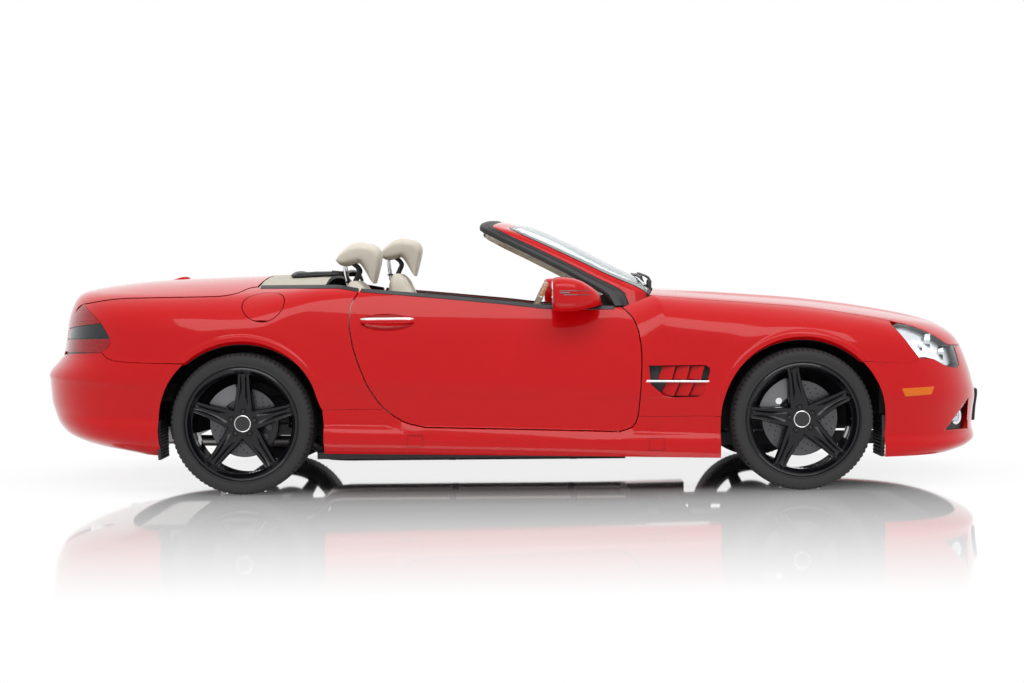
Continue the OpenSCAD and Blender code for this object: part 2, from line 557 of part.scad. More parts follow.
// A closed solid through sections with the same number of points
module tube(sections) {
    k = len(sections[0]);
    n = len(sections) - 1;
    function id(j, i) = j * k + i % k;
    polyhedron(
        points = [for (s = sections) for (p = s) place(p)],
        faces = concat(
            [for (i = [1 : k - 2]) [0, i, i + 1]],
            [for (i = [1 : k - 2]) [id(n, 0), id(n, i + 1), id(n, i)]],
            [for (j = [0 : n - 1]) for (i = [0 : k - 1]) for (h = [0, 1])
                h == 0 ? [id(j, i), id(j + 1, i), id(j + 1, i + 1)] : [id(j, i), id(j + 1, i + 1), id(j, i + 1)]]
        )
    );
}
module windscreen_frame() {
    half = [for (i = [0 : FRAME_STEPS]) frame_section(7 * i / FRAME_STEPS)];
    other = [for (i = [FRAME_STEPS - 1 : -1 : 0]) [for (p = half[i]) flip(p)]];
    color("red") tube(concat(half, other));
}

// The lower edge of the glass: [y, x, z]
GLASS_BASE = [[0, 662, 950], [350, 656, 942], [560, 645, 926], [692, 627, 906]];
GLASS_OFF = 2.4;    // how far the glass stays inside its frame
// Off the posts below the screen's top corner, off the header beyond it, and off both at the corner
function glass_off(i) = [(GLASS_OFF + 1.8) * max(0, min(1, (i - 2.5) / 1.5)),
                         -GLASS_OFF * max(0, min(1, 7 - i)), -0.3];
GLASS_BOW = 26;     // how far the glass stands forward of a straight screen, halfway up
function glass_edge(u, away) = frame_point(u, 1) + away;
module windscreen() {
    side = [for (i = [3 : 15]) glass_edge(i / 3, glass_off(i / 3))];
    header = [for (i = [15 : FRAME_STEPS]) glass_edge(i / 3, glass_off(i / 3))];
    top_half = concat([side[12]], [for (i = [1 : 6]) header[i]]);
    top = concat(top_half, [for (i = [5 : -1 : 0]) flip(top_half[i])]);
    bottom = [for (i = [0 : 12]) let (y = mix(692 - GLASS_OFF, GLASS_OFF - 692, i / 12))
        [look(GLASS_BASE, abs(y), 1), y, look(GLASS_BASE, abs(y), 2) + 0.4]];
    left = concat([bottom[0]], [for (i = [1 : 12]) side[i]]);
    right = [for (p = left) flip(p)];
    grid = patch(bottom, top, left, right);
    bowed = [for (j = [0 : 12]) [for (i = [0 : 12])
        grid[j][i] + GLASS_BOW * sin(180 * j / 12) * sin(180 * i / 12) * [0.42, 0, 0.9]]];
    color("lightblue") between(
        [for (row = bowed) back(row)],
        [for (row = bowed) back([for (p = row) p - glass_t * [0.42, 0, 0.9]])]);
}

COWL_HALF_W = 664;
COWL_Z = 850;
SPINDLES = [-420, 180];
function spindle_x(y) = (look(GLASS_BASE, abs(y), 1) + hood_rear(y) - panel_gap) / 2;
SPINDLE_R = 6;
module cowl() {
    rear = [for (i = [0 : 10]) let (y = mix(-COWL_HALF_W, COWL_HALF_W, i / 10))
        [look(GLASS_BASE, abs(y), 1) + seam, y, look(GLASS_BASE, abs(y), 2)]];
    front = [for (q = rear) let (x = hood_rear(q.y) - panel_gap) [x, q.y, top_z(x, q.y) - 4]];
    outer = [rear, front];
    color("black") difference() {
        between(outer, [for (row = outer) [for (p = row) [p.x, p.y, COWL_Z]]]);
        for (y = SPINDLES) translate([at(spindle_x(y)), across(y), COWL_Z + 10]) cylinder(r = SPINDLE_R + fit, h = 200);
    }
}
module wipers() {
    for (y = SPINDLES) translate([at(spindle_x(y)), across(y), 0]) color("black") {
        translate([0, 0, COWL_Z + 10]) cylinder(r = SPINDLE_R, h = 112);
        hull() {
            translate([0, 0, 964]) cylinder(r = 9, h = 8);
            translate([-34, 260, 1001]) sphere(r = 6, $fn = 12);
        }
        hull() for (e = [-60, 480]) translate([-32, e, 1001 - 20 * pow((y + e) / 600, 2)]) sphere(r = 7, $fn = 12);
    }
}

// ---- Inside ----
FLOOR_Z = 150;
FLOOR_T = 30;
FLOOR_X = [-906, 620];
TUNNEL_W = 220;
TUNNEL_Z = 300;
BOOT_FLOOR_Z = 410;
FIREWALL_X = [612, 640];
floor_top = FLOOR_Z + FLOOR_T;
module block(x, y, z) {
    translate([at(x[0]), y[0], z[0]]) cube([at(x[1]) - at(x[0]), y[1] - y[0], z[1] - z[0]]);
}
floor_w = across(SKIRT_IN_Y) - fit;
module floor_pan() {
    color("dimgray") {
        block(FLOOR_X, [-floor_w, floor_w], [FLOOR_Z, floor_top]);
        block(FLOOR_X, [-TUNNEL_W / 2, TUNNEL_W / 2], [FLOOR_Z, TUNNEL_Z]);
        block([-2050, -906 - fit], [-540, 540], [BOOT_FLOOR_Z, BOOT_FLOOR_Z + 20]);
    }
}
BULKHEAD_X = [-906, -880];
module bulkheads() {
    color("black") {
        difference() {
            block(FIREWALL_X, [-across(728), across(728)], [floor_top + fit, COWL_Z - fit]);
            block([600, 650], [-TUNNEL_W / 2 - fit, TUNNEL_W / 2 + fit], [0, TUNNEL_Z + fit]);
        }
        difference() {
            block(BULKHEAD_X, [-572, 572], [floor_top + fit, 880]);
            block([-920, -860], [-TUNNEL_W / 2 - fit, TUNNEL_W / 2 + fit], [0, TUNNEL_Z + fit]);
        }
    }
}
DECK_END_X = -866;
module rear_deck() {
    hinge_edge = lid_ray(seen(QUARTER_TOP[4]))[1];
    left = [for (x = [-1188, -1110, -1030, -950, DECK_END_X])
        let (q = seen([x, look(QUARTER_TOP, x) - half_gap + seam])) [q.x, q.y + 2.2]];
    right = [for (p = left) [p.x, -p.y]];
    back_edge = [for (i = [0 : 8]) let (y = mix(left[0].y, right[0].y, i / 8))
        [i == 0 || i == 8 ? left[0].x : skin("lid", [y, hinge_edge]).x + panel_gap, y]];
    color("black") panel("top", patch(back_edge, line(left[4], right[4], 8), left, right), lid_t, 0, 0.03);
}

LINER_R = 392;
LINER_IN_Y = 480;
// The inner edge of a wheel arch in the panel around it, at the angle a
LIP_OFF = 2.8;      // how far the liner stands off the panel's inner face
function arch_lip(c, a) = skin("side", from_side(arch_at(c, a)), wall_t) - [0, LIP_OFF, 0];
module liner(c, angles, in_y) {
    lip = [for (a = angles) arch_lip(c, a)];
    steps = [0, 0.15, 1];
    inside = [for (t = steps) [for (i = [0 : len(angles) - 1])
        let (r = c + LINER_R * [cos(angles[i]), sin(angles[i])])
            t == 0 ? lip[i] : [r.x, mix(lip[i].y, in_y, t), r.y]]];
    outside = [for (row = inside) [for (q = row) let (d = [q.x - c.x, q.z - c.y]) [q.x + 6 * d.x / norm(d), q.y, q.z + 6 * d.y / norm(d)]]];
    color("black") between(outside, inside);
}
module wheel_arch_liners() {
    af = [180 - arch_angle(SKIRT_JOINT_FRONT), arch_angle(588)];
    ar = [180 - arch_angle(603), arch_angle(SKIRT_JOINT_REAR)];
    mirrored() {
        liner(arch_f, [for (i = [0 : 12]) mix(af[0], af[1], i / 12)], LINER_IN_Y);
        liner(arch_rr, [for (i = [0 : 13]) mix(ar[0], ar[1], i / 13)], 580);
    }
}

// Seen from the side, [x, z]; it stands against the front bulkhead
DASH = [[0, 560], [0, 904], [-92, 908], [-190, 900], [-262, 862], [-282, 780], [-262, 700], [-190, 600], [-130, 560]];
DASH_TOP_HALF_W = 660;
DASH_LOW_HALF_W = 735;
module extrude_y(points, half) {
    rotate([90, 0, 0]) translate([0, 0, -half]) linear_extrude(height = 2 * half) polygon(points);
}
COLUMN_TILT = 24;
WHEEL_AT = [111, 370, 796];   // middle of the steering wheel
module column_place() {
    translate([at(WHEEL_AT.x), WHEEL_AT.y, WHEEL_AT.z]) rotate([0, 90 + COLUMN_TILT, 0]) children();
}
COLUMN_R = 34;
module dashboard() {
    color("black") difference() {
        translate([at(FIREWALL_X[0]) - fit, 0, 0]) {
            extrude_y(DASH, DASH_TOP_HALF_W);
            intersection() {
                extrude_y(DASH, DASH_LOW_HALF_W);
                translate([-400, -1000, 500]) cube([500, 2000, 344]);
            }
        }
        column_place() cylinder(r = COLUMN_R + fit, h = 420);
    }
}
module steering_column() {
    color("black") difference() {
        column_place() translate([0, 0, 62]) cylinder(r = COLUMN_R, h = 300);
        column_place() cylinder(r = 12 + running, h = 130);
    }
}
module steering_wheel() {
    rim_r = steering_wheel_d / 2 - 15;
    color("tan") column_place() {
        rotate_extrude() translate([rim_r, 0]) circle(r = 15, $fn = 32);
        translate([0, 0, -12]) cylinder(r = 78, h = 60);
        for (a = [0, 180, 65, -65]) rotate([0, 0, a + 90]) translate([60, -16, 2]) cube([rim_r - 66, 32, 14]);
        translate([0, 0, 40]) cylinder(r = 12, h = 80);
    }
}
CONSOLE = [[-760, 0], [330, 0], [330, 330], [200, 300], [-120, 220], [-300, 250], [-690, 262], [-760, 240]];
module centre_console() {
    color("black") extrude_y([for (p = CONSOLE) [at(p.x), TUNNEL_Z + fit + p.y]], TUNNEL_W / 2 - 10);
}

// Seen from the side and measured from the top of the seat's back, [x, z]
SEAT_CUSHION = [[640, -560], [676, -592], [650, -650], [170, -700], [130, -680], [186, -552], [240, -540]];
SEAT_BACK = [[-30, -2], [10, 0], [48, -24], [184, -470], [186, -552], [130, -680], [80, -690], [-10, -450], [-62, -60]];
// Where each seat's back ends at the top: [side, x, z]
SEATS = [[-1, -746, 974], [1, -590, 1012]];
SEAT_GAP = 0.3;
module seat(s) {
    color("wheat") translate([at(s[1]), s[0] * seat_y, s[2]]) {
        extrude_y(SEAT_BACK, seat_w / 2 - 20);
        translate([SEAT_GAP, 0, 0]) extrude_y(SEAT_CUSHION, seat_w / 2);
    }
    color("black") translate([at(s[1]) + 220, s[0] * seat_y - 170, floor_top + fit])
        cube([400, 340, s[2] - 700 - floor_top + 20]);
}
module seats() for (s = SEATS) seat(s);
HEADREST = [190, 250, 180];
module headrests() {
    for (s = SEATS) translate([at(s[1]), s[0] * seat_y, s[2]]) {
        color("wheat") hull() for (x = [-80, 60]) for (y = [-90, 90]) for (z = [36, 150])
            translate([x + 10, y, z]) sphere(r = 32, $fn = 16);
        color("silver") for (y = [-60, 60]) translate([-10, y, fit]) cylinder(r = 6, h = 30);
    }
}

// ---- Running gear ----
RAIL_Y = [390, 450];
RAIL_Z = [170, 230];
module engine() {
    color("gray") block([700, 1300], [-270, 270], [RAIL_Z[1] + fit, 780]);
}
module radiator() {
    color("black") block([1960, 2012], [-430, 430], [RAIL_Z[1] + fit, 640]);
}
module front_subframe() {
    color("dimgray") {
        mirrored() block([FIREWALL_X[1] + fit, 2012], RAIL_Y, RAIL_Z);
        for (x = [760, 1270, 1900]) block([x, x + 110], [-RAIL_Y[0] - 10, RAIL_Y[0] + 10], RAIL_Z);
        mirrored() translate([front_x - 40, RAIL_Y[1] - 10, knuckle_low - 26 - fit])
            cube([80, front_track / 2 - KINGPIN_IN - RAIL_Y[1] + 36, 26]);
    }
}
KINGPIN_IN = 60;    // from the middle of a front tyre in to its steering axis
UPRIGHT_H = 220;
HUB_FACE = 30;      // from the middle of a tyre out to the wheel's seat on its hub
STUB_R = 24;
knuckle_low = axle_z - UPRIGHT_H / 2;
// What carries a wheel, measured from the middle of the left tyre, with its axis along Y
module hub_carrier(disc_d) {
    color("gray") {
        rotate([-90, 0, 0]) translate([0, 0, -100]) cylinder(r = STUB_R, h = 160);
        rotate([-90, 0, 0]) translate([0, 0, -100]) cylinder(r = 58, h = 80);
        translate([-40, -122, -UPRIGHT_H / 2]) cube([80, 46, UPRIGHT_H]);
        rotate([-90, 0, 0]) difference() {
            rotate([0, 0, 196]) rotate_extrude(angle = 62) translate([112, -70]) square([disc_d / 2 - 90, 112]);
            translate([0, 0, -13]) cylinder(d = disc_d + 10, h = 42);
            translate([0, 0, -100]) cylinder(r = 80, h = 200);
        }
        translate([-150, -84, 0]) cube([120, 30, 60]);
    }
}
module knuckle() translate([front_x, front_track / 2, axle_z]) hub_carrier(front_disc_d);

module wheel(tyre_w, disc_d) {
    hw = tyre_w / 2 - 8;
    r = rim_d / 2;
    color("black") rotate([-90, 0, 0]) difference() {
        union() {
            rotate_extrude($fn = 96) polygon([
                [r, hw], [r, hw - 9], [r - 12, hw - 9], [r - 12, -hw + 9], [r, -hw + 9], [r, -hw],
                [r - 22, -hw], [r - 34, -hw + 30], [r - 34, hw - 60], [r - 20, hw - 20], [r - 16, hw]]);
            translate([0, 0, HUB_FACE]) cylinder(r = 76, h = 56);
            for (i = [0 : 4]) rotate([0, 0, 72 * i + 90]) translate([0, 0, HUB_FACE + 22])
                linear_extrude(height = 42) polygon([
                    [40, -26], [90, -27], [r - 26, -48], [r - 26, 48], [90, 27], [40, 26]]);
        }
        translate([0, 0, -200]) cylinder(r = STUB_R + running, h = 200 + 61);
        for (i = [0 : 4]) rotate([0, 0, 72 * i + 54]) translate([bolt_circle_r, 0, 0]) cylinder(d = 14, h = 200);
    }
    color("silver") rotate([-90, 0, 0]) difference() {
        union() {
            translate([0, 0, -8]) cylinder(d = disc_d, h = 32, $fn = 96);
            translate([0, 0, 10]) cylinder(r = 84, h = HUB_FACE - 10);
        }
        translate([0, 0, -60]) cylinder(r = STUB_R + running, h = 120);
        translate([0, 0, -20]) cylinder(r = 78, h = 36);
        for (i = [0 : 4]) rotate([0, 0, 72 * i + 54]) translate([bolt_circle_r, 0, 0]) cylinder(d = 14, h = 200);
    }
}
module tyre(tyre_w) {
    hw = tyre_w / 2 - 8;
    w = tyre_w / 2;
    r = rim_d / 2;
    color("black") rotate([-90, 0, 0]) rotate_extrude($fn = 96) polygon([
        [r - 12 + fit, -hw + 9 + fit], [r + 1, -hw + 9 + fit], [r + 4, -w + 4], [r + 26, -w], [tyre_r - 18, -w + 2],
        [tyre_r - 6, -w + 12], [tyre_r, -w + 34], [tyre_r, w - 34], [tyre_r - 6, w - 12],
        [tyre_r - 18, w - 2], [r + 26, w], [r + 4, w - 4], [r + 1, hw - 9 - fit], [r - 12 + fit, hw - 9 - fit]]);
}
module at_front() translate([front_x, front_track / 2, axle_z]) children();
module at_rear() translate([rear_x, rear_track / 2, axle_z]) children();

DIFF_HALF_W = 115;
module rear_subframe() {
    color("dimgray") {
        for (x = [-205, 165]) translate([rear_x + x, -480, 240]) cube([40, 960, 50]);
        mirrored() translate([rear_x - 205, 430, 240]) cube([410, 50, 50]);
        mirrored() for (x = [-200, 170]) translate([rear_x + x, 435, 250]) cube([30, 40, BOOT_FLOOR_Z - 250 - fit]);
        translate([rear_x - 170, -DIFF_HALF_W, axle_z - 80]) cube([340, 2 * DIFF_HALF_W, 160]);
        mirrored() translate([rear_x - 25, 440, knuckle_low - 26 - fit])
            cube([50, rear_track / 2 - 90 - 440, 26]);
        mirrored() translate([rear_x - 25, 440, knuckle_low - 26 - fit]) cube([50, 30, 60]);
        mirrored() at_rear() hub_carrier(rear_disc_d);
    }
}
module drive_shafts() {
    length = rear_track / 2 - 122 - DIFF_HALF_W - 2 * fit;
    color("gray") mirrored() translate([rear_x, DIFF_HALF_W + fit, axle_z]) rotate([-90, 0, 0]) {
        cylinder(r = 14, h = length);
        cylinder(r = 46, h = 80);
        translate([0, 0, length - 80]) cylinder(r = 46, h = 80);
    }
}
PIPE_Z = 109;       // height of the pipes under the floor
module exhaust() {
    color("silver") {
        mirrored() {
            translate([at(-900), 200, PIPE_Z]) rotate([0, 90, 0]) cylinder(r = 28, h = at(560) - at(-900));
            hull() {
                translate([at(-900), 200, PIPE_Z]) sphere(r = 28, $fn = 20);
                translate([at(-1010), 300, 190]) sphere(r = 28, $fn = 20);
            }
            hull() {
                translate([at(-1010), 300, 190]) sphere(r = 28, $fn = 20);
                translate([at(-1700), 300, 200]) sphere(r = 28, $fn = 20);
            }
            translate([at(-1800), TAIL_PIPE.x, TAIL_PIPE.y]) rotate([0, -90, 0]) difference() {
                cylinder(r = TAIL_PIPE_R, h = at(-1800) - at(-2140));
                translate([0, 0, 40]) cylinder(r = TAIL_PIPE_R - 3, h = 400);
            }
        }
        block([-1830, -1560], [-480, 480], [195, 300]);
        for (y = [-300, 300]) translate([at(-1700), y, 290]) cylinder(r = 8, h = BOOT_FLOOR_Z - 290 - fit);
    }
}

hood();
boot_lid();
mirror([0, 1, 0]) door();  // door_right
door();  // door_left
front_fenders();
rear_quarters();
front_bumper();
rear_bumper();
side_skirts();
headlamps();
tail_lamps();
grille();
fuel_flap();
plate_bracket();
mirror([0, 1, 0]) door_handle();  // door_handle_right
door_handle();  // door_handle_left
mirror([0, 1, 0]) mirror_housing();  // mirror_right
mirror_housing();  // mirror_left
windscreen();
windscreen_frame();
wipers();
cowl();
rear_deck();
floor_pan();
bulkheads();
wheel_arch_liners();
dashboard();
centre_console();
steering_wheel();
steering_column();
seats();
headrests();
engine();
radiator();
front_subframe();
rear_subframe();
mirror([0, 1, 0]) knuckle();  // knuckle_right
knuckle();  // knuckle_left
drive_shafts();
exhaust();
mirror([0, 1, 0]) at_front() wheel(front_tyre_w, front_disc_d);  // wheel_front_right
at_front() wheel(front_tyre_w, front_disc_d);  // wheel_front_left
mirror([0, 1, 0]) at_rear() wheel(rear_tyre_w, rear_disc_d);  // wheel_rear_right
at_rear() wheel(rear_tyre_w, rear_disc_d);  // wheel_rear_left
mirror([0, 1, 0]) at_front() tyre(front_tyre_w);  // tyre_front_right
at_front() tyre(front_tyre_w);  // tyre_front_left
mirror([0, 1, 0]) at_rear() tyre(rear_tyre_w);  // tyre_rear_right
at_rear() tyre(rear_tyre_w);  // tyre_rear_left
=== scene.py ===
"""Two-seat convertible car with its roof stowed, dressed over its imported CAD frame.
Metres in the frame's own axes: +X is forward, +Y is the car's left, +Z is up."""
import math

import bpy
import numpy as np
from mathutils import Matrix, Vector


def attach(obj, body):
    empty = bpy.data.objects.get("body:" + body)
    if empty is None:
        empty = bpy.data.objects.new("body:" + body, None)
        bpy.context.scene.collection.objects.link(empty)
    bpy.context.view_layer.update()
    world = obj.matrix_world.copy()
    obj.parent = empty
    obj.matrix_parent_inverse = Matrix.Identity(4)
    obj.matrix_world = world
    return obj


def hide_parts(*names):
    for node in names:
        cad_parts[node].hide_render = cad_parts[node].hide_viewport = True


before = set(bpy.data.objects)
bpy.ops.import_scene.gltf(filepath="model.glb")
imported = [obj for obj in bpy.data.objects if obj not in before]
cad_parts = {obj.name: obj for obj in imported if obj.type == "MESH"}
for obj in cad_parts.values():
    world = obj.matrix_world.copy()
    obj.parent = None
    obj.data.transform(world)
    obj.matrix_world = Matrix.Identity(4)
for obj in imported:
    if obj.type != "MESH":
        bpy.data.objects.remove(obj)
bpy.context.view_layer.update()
MM = 0.001
SIDES = {"left": 1, "right": -1}

# ---------------------------------------------------------------------------------------------
# The body's form. The outer panels are pressed steel and aluminium, all cut from one smooth form:
# tables along the car, up its side, and down the middle of its nose and tail, in millimetres.
# ---------------------------------------------------------------------------------------------
# [x, half_w, top_z, crown, soft, lean]
LENGTHWISE = np.array([
    [-2280, 900, 905, 55, 50, 0.80], [-2130, 904, 932, 60, 50, 0.80], [-1987, 908, 962, 66, 80, 0.80],
    [-1738, 911, 988, 74, 130, 0.80], [-1237, 913, 1006, 80, 130, 0.80], [-850, 906, 1016, 58, 60, 0.92],
    [-400, 897, 1010, 50, 40, 1.00], [0, 894, 985, 50, 40, 1.00], [400, 899, 956, 46, 60, 0.95],
    [660, 905, 934, 36, 130, 0.85], [1000, 911, 906, 34, 170, 0.75], [1323, 913, 880, 36, 170, 0.72],
    [1553, 911, 854, 42, 150, 0.75], [1780, 908, 818, 46, 120, 0.80], [2007, 904, 770, 52, 90, 0.85],
    [2154, 900, 724, 56, 70, 0.85], [2280, 896, 650, 60, 60, 0.85]])
# [z, inset]
SIDEWAYS = np.array([
    [100, 100], [150, 52], [180, 22], [215, 4], [245, 2], [272, 12], [300, 32], [360, 25], [420, 14],
    [470, 3], [500, 0], [560, 4], [650, 16], [720, 30], [790, 50], [860, 78], [930, 114], [1000, 156]])
SIDE_FALL = 0.03
# [z, x]
NOSE = np.array([
    [100, 2070], [139, 2150], [175, 2252], [205, 2278], [260, 2268], [330, 2272], [400, 2280],
    [500, 2260], [583, 2232], [640, 2208], [690, 2180], [760, 2120], [1000, 2000]])
TAIL = np.array([
    [100, -1700], [171, -1860], [216, -2090], [266, -2200], [330, -2246], [416, -2274], [532, -2280],
    [556, -2270], [600, -2232], [640, -2204], [700, -2194], [800, -2180], [900, -2146], [1000, -2100]])
END_START, END_POWER, END_CORNER = 1220, 4, 2.4
CROWN_W, CROWN_POWER = 700, 2.4
AXIS = (0, 450, 480)
POLE, LID_RAY_Z = 1300, 560


def look(table, x, column=1):
    """A column of a table at x, along a smooth curve that never overshoots its points."""
    t = np.asarray(table, float)
    xs, ys = t[:, 0], t[:, column]
    rise = np.diff(ys) / np.diff(xs)
    slope = np.concatenate([[rise[0]], np.zeros(len(xs) - 2), [rise[-1]]])
    a, b = rise[:-1], rise[1:]
    keep = a * b > 0
    slope[1:-1] = np.where(keep, 2 * a * b / np.where(keep, a + b, 1), 0)
    x = np.clip(x, xs[0], xs[-1])
    i = np.clip(np.searchsorted(xs, x, side="right") - 1, 0, len(xs) - 2)
    h = xs[i + 1] - xs[i]
    u = (x - xs[i]) / h
    return (ys[i] * (1 + 2 * u) * (1 - u) ** 2 + slope[i] * h * u * (1 - u) ** 2
            + ys[i + 1] * u * u * (3 - 2 * u) - slope[i + 1] * h * u * u * (1 - u))


def depth(p):
    """Below zero inside the body, above zero outside it."""
    x, y, z = p[..., 0], np.abs(p[..., 1]), p[..., 2]
    w = look(LENGTHWISE, x, 1) - look(SIDEWAYS, z + SIDE_FALL * x) * look(LENGTHWISE, x, 5)
    end = np.maximum(0, np.where(x >= 0, (x - END_START) / (look(NOSE, z) - END_START),
                                 (-x - END_START) / (-look(TAIL, z) - END_START)))
    plan = w * (((y / w) ** END_CORNER + end ** END_POWER) ** (1 / END_CORNER) - 1)
    top = z - look(LENGTHWISE, x, 2) + look(LENGTHWISE, x, 3) * (y / CROWN_W) ** CROWN_POWER
    k = look(LENGTHWISE, x, 4)
    h = np.maximum(k - np.abs(plan - top), 0) / k
    return np.maximum(plan, top) + h * h * k / 4


def reach(o, d):
    """How far from o along d the form's surface lies."""
    lo, hi = np.zeros(o.shape[:-1]), np.full(o.shape[:-1], 1600.0)
    for _ in range(26):     # halvings
        mid = (lo + hi) / 2
        inside = depth(o + d * mid[..., None]) < 0
        lo, hi = np.where(inside, mid, lo), np.where(inside, hi, mid)
    return (lo + hi) / 2


def rays(kind, c):
    """Where rays start and point: side [x, angle], nose and tail [angle, z], lid [y, angle], top [x, y]."""
    c = np.asarray(c, float)
    a, b, zero, one = c[..., 0], c[..., 1], np.zeros(c.shape[:-1]), np.ones(c.shape[:-1])
    if kind == "side":
        t = np.radians(b)
        return np.stack([a, AXIS[1] * one, AXIS[2] * one], -1), np.stack([zero, np.cos(t), np.sin(t)], -1)
    if kind in ("nose", "tail"):
        t, way = np.radians(a), 1 if kind == "nose" else -1
        return np.stack([way * POLE * one, zero, b], -1), np.stack([way * np.cos(t), np.sin(t), zero], -1)
    if kind == "lid":
        t = np.radians(b)
        return np.stack([-POLE * one, a, LID_RAY_Z * one], -1), np.stack([-np.cos(t), zero, np.sin(t)], -1)
    return np.stack([a, b, 400 * one], -1), np.stack([zero, zero, one], -1)


def fade(x, start, end):
    u = np.clip((x - start) / (end - start), 0, 1)
    return u * u * (3 - 2 * u)


ARCH_R, AXLE_Z, FRONT_X, REAR_X = 375, 325, 1323, -1237
# Pressed lines along the side: [x0, z0, x1, z1, height, soft above, sharp below, fade in, fade out]
CREASES = [
    [-878, 507, 584, 446, 6, 80, 12, -880, 860],
    [300, 602, 668, 577, 4, 40, 9, 330, 668],
    [-2300, 540, -1620, 503, 7, 60, 9, -2330, -1600],
]


def styling(p):
    """How far the pressed details stand out of the plain form."""
    x, y, z = p[..., 0], np.abs(p[..., 1]), p[..., 2]
    out = np.zeros(x.shape)
    for centre in (FRONT_X, REAR_X):
        r = np.hypot(x - centre, z - AXLE_Z)
        out += 7 * (1 - fade(r, ARCH_R + 18, ARCH_R + 34)) * fade(y, 600, 700) * fade(z, 200, 330)
        out += 6 * np.exp(-((r - ARCH_R - 40) / 60) ** 2) * fade(y, 600, 700) * fade(z, 330, 480)
    for x0, z0, x1, z1, height, above, below, start, end in CREASES:
        over = z - (z0 + (z1 - z0) * (x - x0) / (x1 - x0))
        shape = np.exp(-np.maximum(over, 0) / above) * np.exp(np.minimum(over, 0) / below)
        out += height * shape * fade(x, start, start + 140) * (1 - fade(x, end - 140, end)) * fade(y, 300,
                                                                                                   500)
    # Two long ridges run down the hood from the windscreen to the grille.
    ridge = 430 - 150 * np.clip((x - 700) / 1400, 0, 1)
    out += 9 * np.exp(-((y - ridge) / 52) ** 2) * fade(x, 640,
                                                       1000) * (1 - fade(x, 1900, 2180)) * fade(z, 600, 700)
    return out


def skin(kind, c, inset=0.0, styled=True):
    o, d = rays(kind, c)
    r = reach(o, d)
    if styled and np.ndim(inset) == 0 and inset <= 0:
        r = r + styling(o + d * r[..., None])
    return o + d * (r - inset)[..., None]


def seen(p):
    """Points of the skin that lie at [x, z] as seen from the side."""
    p = np.asarray(p, float)
    o = np.stack([p[..., 0], np.zeros(p.shape[:-1]), p[..., 1]], -1)
    d = np.zeros(o.shape)
    d[..., 1] = 1
    return o + d * reach(o, d)[..., None]


def side_ray(q):
    return np.stack([q[..., 0], np.degrees(np.arctan2(q[..., 2] - AXIS[2], q[..., 1] - AXIS[1]))], -1)


def from_side(p):
    return side_ray(seen(p))


def lid_ray(q):
    return np.stack([q[..., 1], np.degrees(np.arctan2(q[..., 2] - LID_RAY_Z, -POLE - q[..., 0]))], -1)


def round_nose(p):
    q = seen(p)
    return np.stack([np.degrees(np.arctan2(q[..., 1], np.abs(q[..., 0]) - POLE)), q[..., 2]], -1)


def smooth(p, n):
    p = np.asarray(p, float)
    t = np.column_stack([np.arange(len(p)), p])
    u = np.linspace(0, len(p) - 1, n + 1)
    return np.column_stack([look(t, u, c) for c in range(1, t.shape[1])])


def even(p, n):
    p = np.asarray(p, float)
    s = np.concatenate([[0], np.cumsum(np.linalg.norm(np.diff(p, axis=0), axis=1))])
    u = np.linspace(0, s[-1], n + 1)
    return np.column_stack([np.interp(u, s, p[:, c]) for c in range(p.shape[1])])


def shift(p, d):
    p = np.asarray(p, float)
    t = p[np.minimum(np.arange(len(p)) + 1, len(p) - 1)] - p[np.maximum(np.arange(len(p)) - 1, 0)]
    t /= np.linalg.norm(t, axis=1)[:, None]
    return p + d * np.column_stack([-t[:, 1], t[:, 0]])


def line(a, b, n):
    return np.asarray(a, float) + (np.asarray(b, float) - a) * np.linspace(0, 1, n + 1)[:, None]


def arc(c, r, a0, a1, n):
    a = np.radians(np.linspace(a0, a1, n + 1))
    return np.asarray(c, float) + r * np.column_stack([np.cos(a), np.sin(a)])


def join(*curves):
    """Curves end to end, without the points that they share."""
    return np.vstack([c[:-1] for c in curves[:-1]] + [curves[-1]])


def patch(bottom, top, left, right):
    """A grid of points that fills four curves: bottom and top run alike, and so do left and right."""
    s, t = np.linspace(0, 1, len(bottom))[None, :, None], np.linspace(0, 1, len(left))[:, None, None]
    corners = ((bottom[0] * (1 - s) + bottom[-1] * s) * (1 - t) + (top[0] * (1 - s) + top[-1] * s) * t)
    return bottom[None] * (1 - t) + top[None] * t + left[:, None] * (1 - s) + right[:, None] * s - corners


def ruled(bottom, top, m):
    return patch(bottom, top, line(bottom[0], top[0], m), line(bottom[-1], top[-1], m))


def make(name, points, faces, finishes, slots=None, angle=35):
    """A mesh piece from points and faces, with a finish for each slot."""
    mesh = bpy.data.meshes.new(name)
    mesh.from_pydata([tuple(p) for p in np.asarray(points, float) * MM], [], faces)
    obj = bpy.data.objects.new(name, mesh)
    bpy.context.scene.collection.objects.link(obj)
    for m in finishes:
        mesh.materials.append(m)
    if slots is not None:
        mesh.polygons.foreach_set("material_index", slots)
    only(obj)
    bpy.ops.object.shade_smooth_by_angle(angle=math.radians(angle))
    return obj


def only(obj):
    """Selects one object and nothing else."""
    bpy.ops.object.select_all(action="DESELECT")
    obj.select_set(True)
    bpy.context.view_layer.objects.active = obj


def modify(obj, kind, **settings):
    """Adds a modifier with these settings and applies it."""
    only(obj)
    m = obj.modifiers.new(kind, kind)
    for key, value in settings.items():
        setattr(m, key, value)
    bpy.ops.object.modifier_apply(modifier=m.name)
    return obj


